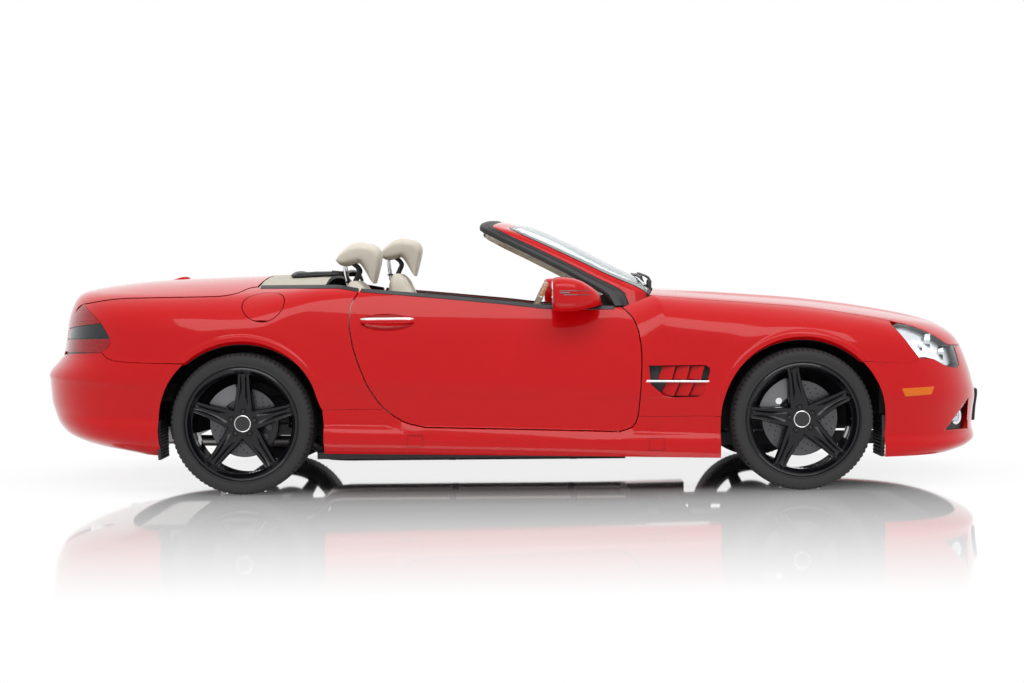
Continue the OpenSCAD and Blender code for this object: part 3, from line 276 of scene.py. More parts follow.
def wall_faces(m, n):
    """Faces of a closed solid between an outer and an inner grid of m by n points, outer side first."""
    g = np.arange(m * n).reshape(m, n)
    a, b, c, d = g[:-1, :-1], g[:-1, 1:], g[1:, 1:], g[1:, :-1]
    outer = np.stack([a, b, c, d], -1).reshape(-1, 4)
    inner = np.stack([a, d, c, b], -1).reshape(-1, 4) + m * n
    rim = np.concatenate([g[0, :], g[1:, -1], g[-1, -2::-1], g[-2:0:-1, 0]])
    nxt = np.roll(rim, -1)
    edge = np.stack([rim, rim + m * n, nxt + m * n, nxt], -1)
    return outer.tolist(), inner.tolist(), edge.tolist()


def between(name, outer, inner, finishes, inner_slot=0, bevel=2.5, flipped=False):
    """A closed solid between two grids of points, with rounded edges."""
    m, n = outer.shape[:2]
    faces = wall_faces(m, n)
    slots = [0] * len(faces[0]) + [inner_slot] * len(faces[1]) + [0] * len(faces[2])
    faces = faces[0] + faces[1] + faces[2]
    if flipped:
        faces = [f[::-1] for f in faces]
    obj = make(name, np.vstack([outer.reshape(-1, 3), inner.reshape(-1, 3)]), faces, finishes, slots)
    if bevel:
        modify(obj, "BEVEL", width=bevel * MM, segments=3, limit_method="ANGLE",
               angle_limit=math.radians(50),
               harden_normals=False)
        only(obj)
        bpy.ops.object.shade_smooth_by_angle(angle=math.radians(35))
    return obj


def handed(name, way, outer, inner, finishes, **more):
    """A closed solid of the left side, or its mirror image on the right."""
    if way < 0:
        outer, inner = mirrored(outer), mirrored(inner)
    return between(name, outer, inner, finishes, flipped=way < 0, **more)


def panel_grids(kind, grid, t, taper=0.0, draw=(0, 0, 0, 0)):
    """The outer and the inner side of a panel that follows the form over a grid of rays."""
    m, n = grid.shape[:2]
    middle = grid[m // 2, n // 2]
    inner = grid + (middle - grid) * taper
    inner[:, 0, 0] += draw[0]
    inner[:, -1, 0] -= draw[1]
    held = slice(1 if draw[0] else 0, -1 if draw[1] else None)
    inner[0, held, 1] += draw[2]
    inner[-1, held, 1] -= draw[3]
    return skin(kind, grid), skin(kind, inner, t)


def mirrored(grid):
    return grid * np.array([1, -1, 1])


def finish(name, colour, rough=0.5, metallic=0.0, coat=0.0, mottle=0.06, grain=60.0, bump=0.0, **sockets):
    """A finish whose colour and surface vary a little over the piece, by its own coordinates."""
    m = bpy.data.materials.new(name)
    m.use_nodes = True
    nodes, links = m.node_tree.nodes, m.node_tree.links
    shader = nodes["Principled BSDF"]
    shader.inputs["Roughness"].default_value = rough
    shader.inputs["Metallic"].default_value = metallic
    shader.inputs["Coat Weight"].default_value = coat
    shader.inputs["Coat Roughness"].default_value = 0.02
    shader.inputs["Coat IOR"].default_value = 1.28
    for key, value in sockets.items():
        shader.inputs[key.replace("_", " ")].default_value = value
    where = nodes.new("ShaderNodeTexCoord")
    noise = nodes.new("ShaderNodeTexNoise")
    noise.inputs["Scale"].default_value = grain
    noise.inputs["Detail"].default_value = 3
    links.new(where.outputs["Object"], noise.inputs["Vector"])
    ramp = nodes.new("ShaderNodeValToRGB")
    ramp.color_ramp.elements[0].position, ramp.color_ramp.elements[1].position = 0.3, 0.7
    ramp.color_ramp.elements[0].color = (*[c * (1 - mottle) for c in colour], 1)
    ramp.color_ramp.elements[1].color = (*[min(1, c * (1 + mottle)) for c in colour], 1)
    links.new(noise.outputs["Fac"], ramp.inputs["Fac"])
    links.new(ramp.outputs["Color"], shader.inputs["Base Color"])
    if bump:
        low = nodes.new("ShaderNodeBump")
        low.inputs["Strength"].default_value = bump
        low.inputs["Distance"].default_value = 0.001
        links.new(noise.outputs["Fac"], low.inputs["Height"])
        links.new(low.outputs["Normal"], shader.inputs["Normal"])
    return m


red_paint = finish("red_paint", (0.60, 0.0008, 0.003), 0.36, coat=1.0, mottle=0.03, grain=900,
                   Specular_IOR_Level=0.08)
black_trim = finish("black_trim", (0.012, 0.012, 0.014), 0.42, mottle=0.2, grain=300, bump=0.15)
black_gloss = finish("black_gloss", (0.006, 0.006, 0.007), 0.12, coat=0.6, mottle=0.1, grain=200)
inner_lining = finish("inner_lining", (0.03, 0.03, 0.032), 0.75, mottle=0.25, grain=400, bump=0.3)
cream_leather = finish("cream_leather", (0.72, 0.66, 0.55), 0.46, mottle=0.03, grain=420, bump=0.22)
chrome = finish("chrome", (0.80, 0.81, 0.82), 0.08, metallic=1.0, mottle=0.02, grain=40)

HALF_GAP = 2.2      # half the gap between two panels
SEAM = 0.6          # half the joint between two fixed pieces
WALL_T, LID_T = 24, 18
DOOR_REAR = [[-402, 302], [-479, 321], [-584, 389], [-661, 500], [-728, 683], [-743, 780], [-738, 850],
             [-700, 932]]
DOOR_FRONT = [[490, 276], [548, 298], [572, 346], [584, 470], [591, 614], [581, 720], [558, 787],
              [509, 842]]
BELT = [[-700, 932], [-427, 908], [-59, 872], [253, 842], [509, 842]]
QUARTER_TOP = [[-2012, 876], [-1793, 902], [-1358, 908], [-1283, 920], [-1197, 950], [-841, 950],
               [-700, 932]]
TAIL_LAMP_EDGE = [[-1888, 656], [-1850, 680], [-1843, 709], [-1900, 795], [-2012, 876]]
REAR_BUMPER_CUT = [[-1888, 656], [-1840, 623], [-1765, 613], [-1489, 603]]
FRONT_BUMPER_CUT = [[1590, 588], [1806, 576], [1869, 598]]
HEADLAMP_EDGE = [[1869, 598], [1799, 691], [1753, 752]]
SKIRT_JOINT_FRONT, SKIRT_JOINT_REAR = 345, 388
HOOD_SIDE = [[640, 712], [1000, 720], [1323, 724], [1560, 726], [1753, 726]]    # seen from above
HOOD_NOSE = [[0, 690], [14, 684], [22, 660], [30, 645], [40.8, 650], [48, 715], [54, 752], [57, 758]]
FRONT_ARCH, REAR_ARCH = (FRONT_X, AXLE_Z), (REAR_X, AXLE_Z)
door_rear, door_front = smooth(DOOR_REAR, 44), smooth(DOOR_FRONT, 44)
quarter_top = smooth(QUARTER_TOP, 120)


def arch_angle(z):
    return math.degrees(math.asin((z - AXLE_Z) / ARCH_R))


def above(p, z):
    """The part of a curve past the height z, starting just there."""
    i = int(np.argmax(p[:, 1] > z))
    u = (z - p[i - 1, 1]) / (p[i, 1] - p[i - 1, 1])
    return np.vstack([p[i - 1] + (p[i] - p[i - 1]) * u, p[i:]])


def dress(obj, node_names, body="root"):
    """The piece rides on its body and stands for its CAD nodes."""
    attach(obj, body)
    if node_names:
        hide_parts(*node_names)
    return obj


# ---------------------------------------------------------------------------------------------
# Hood. One aluminium pressing, painted, with two long ridges and a folded edge. It is hinged below
# the windscreen and latched behind the grille.
# ---------------------------------------------------------------------------------------------
def hood_rear(y):
    return 700 - 60 * (np.abs(y) / 712) ** 2


hood_side = shift(smooth(HOOD_SIDE, 60), -HALF_GAP)
angles = np.linspace(-57, 57, 73)
hood_nose = skin("nose", np.column_stack([angles, look(HOOD_NOSE, np.abs(angles)) + HALF_GAP]))[:, :2]
hood_nose[0], hood_nose[-1] = hood_side[-1] * [1, -1], hood_side[-1]
across = np.linspace(-hood_side[0, 1], hood_side[0, 1], 73)
hood_back = np.column_stack([hood_rear(across), across])
hood_grid = patch(hood_side * [1, -1], hood_side, hood_back, hood_nose)
outer, inner = panel_grids("top", hood_grid, LID_T, taper=0.01)
hood = between("hood_panel", outer, inner, [red_paint, inner_lining], inner_slot=1)
dress(hood, ["hood"], "hood")


# ---------------------------------------------------------------------------------------------
# Boot lid. One painted pressing from the cabin's rear edge down to the bumper, with a lined inner
# side, hinged at its front edge.
# ---------------------------------------------------------------------------------------------
LID_LOW, LID_CORNER = 632, 540
lid_top_y = seen(QUARTER_TOP[0])[1] + 55


def lid_side(z, d):
    z = np.asarray(z, float)
    u = np.maximum(0, (z - LID_LOW) / (872 - LID_LOW))
    y = LID_CORNER + (lid_top_y - LID_CORNER) * u ** 1.5
    return np.stack([np.degrees(np.arctan2(y + d, -look(TAIL, z) - POLE)), z], -1)


lid_edge = shift(quarter_top[:81], HALF_GAP)
lid_down = lid_ray(skin("tail", lid_side(np.linspace(LID_LOW, 872, 31)[:-1], -HALF_GAP)))
lid_left = np.vstack([lid_down, lid_ray(seen(lid_edge))])
lid_left = even(lid_left, 90)
lid_right = lid_left * [-1, 1]
lid_grid = patch(line(lid_right[0], lid_left[0], 72), line(lid_right[-1], lid_left[-1], 72), lid_right,
                 lid_left)
outer, inner = panel_grids("lid", lid_grid, LID_T, taper=0.02)
boot_lid = between("boot_lid_panel", outer, inner, [red_paint, inner_lining], inner_slot=1)
dress(boot_lid, ["boot_lid"], "boot_lid")

# ---------------------------------------------------------------------------------------------
# Doors. A steel skin over a deep case; the inner side is trimmed. A seal lies along the belt, and a
# hollow is pressed behind the handle.
# ---------------------------------------------------------------------------------------------
DOOR_IN_Y = 745
HANDLE_X, HANDLE_Z = (-685, -452), 794
rear, front = shift(door_rear, -HALF_GAP), shift(door_front, HALF_GAP)
bottom = line(rear[0] + [0, HALF_GAP], front[0] + [0, HALF_GAP], 96)
belt = even(smooth(BELT, 96), 96)
belt[0], belt[-1] = rear[-1], front[-1]
door_rays = from_side(patch(bottom, belt, rear, front))
door_skin = skin("side", door_rays)
door_inside = door_skin.copy()
door_inside[..., 0] += (door_skin[22, 48, 0] - door_skin[..., 0]) * 0.055
door_inside[..., 1] = DOOR_IN_Y
handle_at = seen([np.mean(HANDLE_X), HANDLE_Z - 6])
for side, way in SIDES.items():
    door = handed(f"door_skin_{side}", way, door_skin, door_inside, [red_paint, inner_lining], inner_slot=1)
    bpy.ops.mesh.primitive_uv_sphere_add(segments=64, ring_count=32, radius=1, location=(0, 0, 0))
    cup = bpy.context.active_object
    cup.data.transform(Matrix.Translation(Vector([handle_at[0], way * (handle_at[1] + 12),
                                                  handle_at[2]]) * MM)
                       @ Matrix.Diagonal((0.124, 0.036, 0.045, 1)))
    modify(door, "BOOLEAN", object=cup, operation="DIFFERENCE", solver="EXACT")
    bpy.data.objects.remove(cup)
    dress(door, [f"door_{side}"], f"door_{side}")

# ---------------------------------------------------------------------------------------------
# Front fenders. Bolted steel pressings round the front arches, each with an air outlet: a recess with
# three slanted blades above and three below a bright bar.
# ---------------------------------------------------------------------------------------------
EDGE_DRAW, EDGE_TURN = 30, 4.5
foot = SKIRT_JOINT_FRONT + SEAM
left = above(shift(door_front, -HALF_GAP), foot)
left = even(left, 44)
bottom = join(line(left[0], (FRONT_X + ARCH_R * math.cos(math.radians(180 - arch_angle(foot))), foot), 18),
              arc(FRONT_ARCH, ARCH_R, 180 - arch_angle(foot), arch_angle(588), 60),
              even(smooth(FRONT_BUMPER_CUT, 30) + [0, SEAM], 18))
right = from_side(even(smooth(HEADLAMP_EDGE, 30) + [-SEAM, 0], 44))
fender_top = side_ray(skin("top", even(shift(smooth(HOOD_SIDE, 90), HALF_GAP), 96), styled=False))
bottom, left = from_side(bottom), from_side(left)
fender_top[0], right[-1] = left[-1], fender_top[-1]
fender_rays = patch(bottom, fender_top, left, right)
outer, inner = panel_grids("side", fender_rays, WALL_T, draw=(EDGE_DRAW, 0, 0, EDGE_TURN))
VENT = [[630, 492], [622, 578], [880, 578], [898, 566], [898, 545], [868, 447], [845, 434], [735, 432],
        [690, 440]]


def outwards(obj):
    """Turns a closed piece's faces to point out of it."""
    only(obj)
    bpy.ops.object.mode_set(mode="EDIT")
    bpy.ops.mesh.select_all(action="SELECT")
    bpy.ops.mesh.normals_make_consistent(inside=False)
    bpy.ops.object.mode_set(mode="OBJECT")
    return obj


def prism(name, outline, y0, y1, way):
    """A block with this outline, seen from the side, between two depths."""
    n = len(outline)
    points = [(x, way * y, z) for y in (y0, y1) for x, z in outline]
    faces = [list(range(n)), list(range(2 * n - 1, n - 1, -1))]
    faces += [[i, i + n, (i + 1) % n + n, (i + 1) % n] for i in range(n)]
    return outwards(make(name, points, faces, []))


def block(name, outline, y0, y1, m, bevel, segments=2):
    """A moulded block across the car, with rounded edges."""
    obj = prism(name, outline, y0, y1, 1)
    obj.data.materials.append(m)
    return modify(obj, "BEVEL", width=bevel * MM, segments=segments, limit_method="ANGLE")


def cut(obj, cutter):
    modify(obj, "BOOLEAN", object=cutter, operation="DIFFERENCE", solver="EXACT")
    bpy.data.objects.remove(cutter)
    return obj


def shell_patch(outline_grid, y_in):
    """Points of the skin at a grid of [x, z], moved inwards."""
    q = seen(outline_grid)
    q[..., 1] -= y_in
    return q


for side, way in SIDES.items():
    fender = handed(f"fender_{side}", way, outer, inner, [red_paint, inner_lining], inner_slot=1)
    cut(fender, prism("vent_cut", VENT, 800, 1000, way))
    dress(fender, [], "root")
    # The recess behind the opening, its blades and its bright bar
    floor_grid = patch(line((600, 425), (915, 425), 12), line((600, 590), (915, 590), 12),
                       line((600, 425), (600, 590), 6), line((915, 425), (915, 590), 6))
    pocket = handed(f"vent_pocket_{side}", way, shell_patch(floor_grid, 27), shell_patch(floor_grid, 31),
                    [inner_lining], bevel=0)
    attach(pocket, "root")
    for row, (z0, z1, lean) in enumerate([(512, 574, 16), (437, 501, 26)]):
        for k in range(3):
            x = 664 + 66 * k + 8 * row
            corner = [[x, z0], [x + 62, z0]]
            top = [[x + lean + 6, z1], [x + lean + 62, z1]]
            grid = patch(line(corner[0], corner[1], 8), line(top[0], top[1], 8), line(corner[0], top[0], 4),
                         line(corner[1], top[1], 4))
            face = seen(grid)
            face[..., 1] -= np.linspace(23, 4, 9)[None, :]
            back = face.copy()
            back[..., 1] -= 4
            blade = handed(f"vent_blade_{side}_{row}_{k}", way, face, back, [red_paint], bevel=1.2)
            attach(blade, "root")
    bar = patch(line((605, 503), (903, 500), 30), line((612, 512), (900, 508), 30),
                line((605, 503), (612, 512), 3),
                line((903, 500), (900, 508), 3))
    bright = handed(f"vent_bar_{side}", way, shell_patch(bar, -3), shell_patch(bar, 9), [chrome], bevel=1.5)
    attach(bright, "root")
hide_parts("front_fenders")

# ---------------------------------------------------------------------------------------------
# Rear quarters. Welded steel panels round the rear arches, with a round fuel flap on the right.
# ---------------------------------------------------------------------------------------------
foot = SKIRT_JOINT_REAR + SEAM
right = even(above(shift(door_rear, HALF_GAP), foot), 44)
bottom = join(even(smooth(REAR_BUMPER_CUT, 30) + [0, SEAM], 24),
              arc(REAR_ARCH, ARCH_R, 180 - arch_angle(603), arch_angle(foot), 66),
              line((REAR_X + ARCH_R * math.cos(math.radians(arch_angle(foot))), foot), right[0], 18))
left = even(smooth(TAIL_LAMP_EDGE, 30) + [SEAM, SEAM], 44)
quarter_belt = even(shift(quarter_top, -HALF_GAP), 108)
quarter_belt[0], quarter_belt[-1] = left[-1], right[-1]
quarter_rays = from_side(patch(bottom, quarter_belt, left, right))
outer, inner = panel_grids("side", quarter_rays, WALL_T, draw=(0, EDGE_DRAW, 0, EDGE_TURN))
FLAP_CENTRE, FLAP_R, FLAP_TILT = (-1140, 872), 96, 48.5
flap_at = skin("side", from_side(FLAP_CENTRE), styled=False) * MM
flap_place = (Matrix.Translation((flap_at[0], -flap_at[1], flap_at[2]))
              @ Matrix.Rotation(math.radians(90 - FLAP_TILT), 4, "X"))


def flap_cylinder(r, height):
    bpy.ops.mesh.primitive_cylinder_add(vertices=128, radius=r * MM, depth=height * MM, location=(0, 0, 0))
    obj = bpy.context.active_object
    obj.data.transform(flap_place)
    return obj


for side, way in SIDES.items():
    quarter = handed(f"quarter_{side}", way, outer, inner, [red_paint, inner_lining], inner_slot=1)
    if side == "right":
        cut(quarter, flap_cylinder(FLAP_R + 4, 160))
    dress(quarter, [], "root")
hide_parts("rear_quarters")
corners = [np.add(FLAP_CENTRE, d) for d in ((-130, -75), (130, -75), (-130, 75), (130, 75))]
flap_rays = from_side(ruled(line(corners[0], corners[1], 60), line(corners[2], corners[3], 60), 40))
outer, inner = panel_grids("side", flap_rays, 8)
fuel_flap = handed("fuel_flap_panel", -1, outer, inner, [red_paint], bevel=0)
rim = flap_cylinder(FLAP_R, 160)
modify(fuel_flap, "BOOLEAN", object=rim, operation="INTERSECT", solver="EXACT")
bpy.data.objects.remove(rim)
dress(fuel_flap, ["fuel_flap"], "fuel_flap")
corners = [np.add(FLAP_CENTRE, d) for d in ((-104, -70), (104, -70), (-104, 70), (104, 70))]
well_rays = from_side(ruled(line(corners[0], corners[1], 12), line(corners[2], corners[3], 12), 8))
well = handed("fuel_well", -1, skin("side", well_rays, 28), skin("side", well_rays, 31), [inner_lining],
              bevel=0)
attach(well, "root")

# ---------------------------------------------------------------------------------------------
# Bumpers and side skirts. Moulded plastic, painted, clipped to the body along fine joints.
# ---------------------------------------------------------------------------------------------
BUMPER_TOP = [[0, 446], [9, 446], [17, 446], [20.5, 500], [22, 590], [23.2, 648], [30, 638], [37.4, 640],
              [38.4, 556], [41.4, 542], [46, 556], [51, 592]]
REAR_TOP = [[0, 626], [12, 626], [22, 626], [31.5, 626], [37, 641], [41, 645], [46, 648]]
FOG_OPENING = [[2006, 258], [2152, 402], [2156, 250]]


def polyline(p, n_each):
    return join(*[line(p[i], p[i + 1], n_each) for i in range(len(p) - 1)])


def bumper_grid(top_table, cut_line, side_x, low_z, n_low):
    cut_rays = round_nose(cut_line)
    half = np.vstack([polyline(top_table, 5), line(top_table[-1], cut_rays[0], 5)[1:-1], cut_rays])
    top = np.vstack([(half * [-1, 1])[::-1], half[1:]])
    z_top = top[-1][1]
    z = np.linspace(low_z, z_top, n_low + 1)[:-1]
    right_edge = np.vstack([round_nose(np.column_stack([side_x(z), z])), top[-1:]])
    base = np.column_stack([top[:, 0] * right_edge[0, 0] / top[-1, 0], np.full(len(top), low_z)])
    return patch(base, top, right_edge * [-1, 1], right_edge)


def arch_x(centre, way):
    return lambda z: centre + way * np.sqrt(ARCH_R ** 2 - np.maximum(0, z - AXLE_Z) ** 2)


front_cut = even(smooth(FRONT_BUMPER_CUT, 30)[::-1] - [0, SEAM], 16)
front_grid = bumper_grid(BUMPER_TOP, front_cut, arch_x(FRONT_X, 1), 150, 44)
outer, inner = panel_grids("nose", front_grid, WALL_T, taper=0.04)
front_bumper = between("front_bumper_skin", outer, inner, [red_paint, inner_lining], inner_slot=1)
for way in (1, -1):
    cut(front_bumper, prism("fog_cut", FOG_OPENING, 560, 1000, way))
dress(front_bumper, ["front_bumper"], "root")

rear_cut = even(smooth(REAR_BUMPER_CUT, 30) - [0, SEAM], 20)
rear_grid = bumper_grid(REAR_TOP, rear_cut, arch_x(REAR_X, -1), 175, 44)
outer, inner = panel_grids("tail", rear_grid, WALL_T, taper=0.04)
rear_bumper = between("rear_bumper_skin", outer, inner, [red_paint, inner_lining], inner_slot=1,
                      flipped=True)
TAIL_PIPE, TAIL_PIPE_R = (430, 240), 40
for way in (1, -1):
    bpy.ops.mesh.primitive_cylinder_add(vertices=64, radius=(TAIL_PIPE_R + 8) * MM, depth=0.6,
                                        location=(0, 0, 0))
    hole = bpy.context.active_object
    hole.data.transform(Matrix.Translation((-2.1, way * TAIL_PIPE[0] * MM, TAIL_PIPE[1] * MM))
                        @ Matrix.Rotation(math.radians(90), 4, "Y"))
    cut(rear_bumper, hole)
dress(rear_bumper, ["rear_bumper"], "root")

SKIRT_IN_Y = 770
edge, ahead = shift(door_rear, HALF_GAP), shift(door_front, -HALF_GAP)
rear_z, front_z = SKIRT_JOINT_REAR - SEAM, SKIRT_JOINT_FRONT - SEAM
tail_run, nose_run = above(edge, rear_z), above(ahead, front_z)
back_x = REAR_X + ARCH_R
edge_low = np.vstack([tail_run[0], edge[edge[:, 1] < rear_z][::-1]])
ahead_low = np.vstack([ahead[ahead[:, 1] < front_z], nose_run[0]])
top = join(line((REAR_X + ARCH_R * math.cos(math.radians(arch_angle(rear_z))), rear_z), edge_low[0], 20),
           edge_low,
           line(edge_low[-1], ahead_low[0], 60), ahead_low,
           line(ahead_low[-1], (FRONT_X - ARCH_R * math.cos(math.radians(arch_angle(front_z))), front_z),
                20))
u = (top[:, 0] - top[0, 0]) / (top[-1, 0] - top[0, 0])
low = np.column_stack([back_x + (FRONT_X - ARCH_R - back_x) * u, 185 + (153 - 185) * u])
left = np.vstack([np.column_stack([np.full(24, back_x), np.linspace(185, 321, 24)]), top[:1]])
right = np.vstack([np.column_stack([np.full(24, FRONT_X - ARCH_R), np.linspace(153, 321, 24)]), top[-1:]])
skirt_skin = skin("side", from_side(patch(low, top, left, right)))
skirt_inside = skirt_skin.copy()
skirt_inside[..., 1] = SKIRT_IN_Y
for side, way in SIDES.items():
    skirt = handed(f"skirt_{side}", way, skirt_skin, skirt_inside, [red_paint, inner_lining], inner_slot=1)
    dress(skirt, [], "root")
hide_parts("side_skirts")


# ---------------------------------------------------------------------------------------------
# Wheels. Cast alloy rims, painted gloss black, with five tapered spokes that each carry two ridges, a
# blank centre cap and five bolts. The discs are drilled iron on a bell, and turn with the wheel. The
# drilled holes are near-black dots of painted shade, and the iron is darkened by painted shade.
# ---------------------------------------------------------------------------------------------
wheel_black = finish("wheel_black", (0.005, 0.005, 0.007), 0.2, coat=0.8, mottle=0.1, grain=250,
                     Specular_IOR_Level=0.2)
# The discs' iron is darkened below its own dark grey: painted shade for the shaded inside of the wheel,
# behind the spokes.
disc_iron_with_painted_shade = finish("disc_iron_with_painted_shade", (0.10, 0.10, 0.105), 0.42, metallic=0.9, mottle=0.12, grain=350, bump=0.1)
# Near-black: painted shade in the discs' drilled holes, which are dots and not cuts; also the black of the
# bolt wells and of the skirt's fine joints.
painted_hole_shade_and_black_joints = finish("painted_hole_shade_and_black_joints", (0.004, 0.004, 0.004), 0.8, mottle=0.2, grain=100)
bolt_steel = finish("bolt_steel", (0.05, 0.05, 0.055), 0.3, metallic=0.8, mottle=0.1, grain=100)


def lathe(name, profile, finishes, segments, angle=30):
    """Spins a profile of [radius, y] round the Y axis at the origin."""
    mesh = bpy.data.meshes.new(name)
    mesh.from_pydata([(r * MM, y * MM, 0) for r, y in profile],
                     [(i, i + 1) for i in range(len(profile) - 1)], [])
    obj = bpy.data.objects.new(name, mesh)
    bpy.context.scene.collection.objects.link(obj)
    only(obj)
    bpy.ops.object.mode_set(mode="EDIT")
    bpy.ops.mesh.select_all(action="SELECT")
    bpy.ops.mesh.spin(steps=segments, angle=math.radians(360), center=(0, 0, 0), axis=(0, 1, 0))
    bpy.ops.mesh.select_all(action="SELECT")
    bpy.ops.mesh.remove_doubles(threshold=0.00002)
    bpy.ops.mesh.normals_make_consistent(inside=False)
    bpy.ops.object.mode_set(mode="OBJECT")
    for m in finishes:
        mesh.materials.append(m)
    bpy.ops.object.shade_smooth_by_angle(angle=math.radians(angle))
    return obj


def loft(name, sections, finishes, angle=35, slots=None):
    """A skin over rings of points, all with the same number of points."""
    sections = np.asarray(sections, float)
    n, k = sections.shape[:2]
    faces = [[j * k + i, j * k + (i + 1) % k, (j + 1) * k + (i + 1) % k, (j + 1) * k + i]
             for j in range(n - 1) for i in range(k)]
    faces += [list(range(k))[::-1], [(n - 1) * k + i for i in range(k)]]
    return outwards(make(name, sections.reshape(-1, 3), faces, finishes, slots, angle=angle))


def merge(name, objs):
    """One piece from several, which keeps their finishes."""
    bpy.ops.object.select_all(action="DESELECT")
    for o in objs:
        o.select_set(True)
    bpy.context.view_layer.objects.active = objs[0]
    bpy.ops.object.join()
    objs[0].name = objs[0].data.name = name
    return objs[0]


def copy_to(obj, name, matrix):
    """A copy with its own mesh, moved by a matrix. A mirrored copy keeps its faces outwards."""
    twin = obj.copy()
    twin.data = obj.data.copy()
    twin.name = twin.data.name = name
    bpy.context.scene.collection.objects.link(twin)
    twin.data.transform(matrix)
    if matrix.determinant() < 0:
        twin.data.flip_normals()
    return twin


RIM_R, BOLT_R = 258, 57
# Along a spoke: [radius, half width, height of its ridges, depth of its groove]
SPOKE = [[28, 46, 82, 0], [50, 44, 83, 1], [78, 43, 82, 6], [110, 38, 81, 9], [150, 33, 83, 10],
         [190, 29, 87, 9],
         [222, 28, 92, 7], [240, 32, 95, 3], [250, 40, 96, 1]]
# Across a spoke: [share of the half width, drop below the ridges, share of the groove's depth]
ACROSS = [[-1.10, 34, 0], [-1.0, 8, 0], [-0.90, 2.5, 0], [-0.72, 0, 0], [-0.52, 0, 0], [-0.36, 1, 0.6],
          [-0.18, 1, 1],
          [0.18, 1, 1], [0.36, 1, 0.6], [0.52, 0, 0], [0.72, 0, 0], [0.90, 2.5, 0], [1.0, 8, 0],
          [1.10, 34, 0]]


def spoke(angle):
    s = smooth(SPOKE, 40)
    rings = [[(r, h - drop - groove * share, w * u) for u, drop, share in ACROSS] for r, w, h, groove in s]
    obj = loft("spoke", rings, [wheel_black], angle=28)
    obj.data.transform(Matrix.Rotation(math.radians(-angle), 4, "Y"))
    return obj


def make_wheel(name, tyre_w, disc_d, angles):
    """A wheel on its own axis, with its outer face towards +Y."""
    hw = tyre_w / 2 - 8
    r = RIM_R
    lip = [[r - 30, hw - 34], [r - 20, hw - 22], [r - 15, hw - 8], [r - 12, hw - 1], [r - 6, hw + 1],
           [r, hw - 2],
           [r, hw - 9], [r - 10, hw - 10], [r - 12, hw - 16], [r - 14, 10], [r - 12, -hw + 9], [r, -hw + 8],
           [r, -hw],
           [r - 14, -hw + 4], [r - 20, -hw + 30], [r - 20, 20], [r - 30, hw - 34]]
    parts = [lathe("rim", lip, [wheel_black], 128)]
    hub = [[24.3, 34], [70, 34], [66, 60], [60, 74], [52, 82], [41, 83], [40, 79], [24.3, 79], [24.3, 34]]
    parts.append(lathe("hub", hub, [wheel_black], 96))
    cap = [[0, 92], [14, 91.5], [30, 89], [37, 86], [39, 82], [39, 78], [0, 78]]
    parts.append(lathe("cap", cap, [black_gloss], 64))
    ring = [[34.5, 88.1], [36.2, 87.9], [37.6, 87.0], [38.3, 85.4], [36, 85.2], [34.5, 88.1]]
    parts.append(lathe("cap_ring", ring, [chrome], 64))
    for a in angles:
        parts.append(spoke(a))
        recess = lathe("bolt_well",
                       [[0, 79.5], [10.5, 79.5], [12.5, 84.3], [13.5, 84.3], [13.5, 78], [0, 78]],
                       [painted_hole_shade_and_black_joints], 24)
        head = lathe("bolt", [[0, 83.5], [6, 83.5], [7.5, 82], [7.5, 79], [0, 79]], [bolt_steel], 12)
        for o in (recess, head):
            t = math.radians(a)
            o.data.transform(Matrix.Translation((BOLT_R * MM * math.cos(t), 0, BOLT_R * MM * math.sin(t))))
            parts.append(o)
    d = disc_d / 2
    disc = [[70, -8], [d - 1, -8], [d, -7], [d, -1], [d - 2, 4], [d - 2, 12], [d, 17], [d, 23], [d - 1, 24],
            [98, 24],
            [96, 22], [84, 22], [83, 29], [70, 29.5], [70, -8]]
    parts.append(lathe("disc", disc, [disc_iron_with_painted_shade], 96))
    # Drilled holes: thin near-black dots on the disc's face, painted shade in place of holes.
    for ring_i, hole_r in enumerate((112, 126, 140, 154)):
        if hole_r < d - 8:
            for i in range(18):
                t = math.radians(20 * i + 7 * ring_i)
                dot = lathe("drilling", [[0, 24.35], [3.4, 24.35], [3.4, 23.4], [0, 23.4]], [painted_hole_shade_and_black_joints], 8)
                dot.data.transform(Matrix.Translation((hole_r * MM * math.cos(t), 0,
                                                       hole_r * MM * math.sin(t))))
                parts.append(dot)
    wheel = merge(name, parts)
    valve = lathe("valve", [[0, 26], [2.6, 26], [2.6, 0], [0, 0]], [black_trim], 10)
    valve.data.transform(Matrix.Translation((226 * MM, (hw - 46) * MM, 0)))
    return merge(name, [wheel, valve])


# ---------------------------------------------------------------------------------------------
# Tyres. Low rubber tyres with four grooves round the tread, cut shoulders, a rim guard and plain walls.
# ---------------------------------------------------------------------------------------------
rubber = finish("rubber", (0.018, 0.018, 0.019), 0.72, mottle=0.2, grain=500, bump=0.25)
TYRE_R, BLOCKS = 325, 84


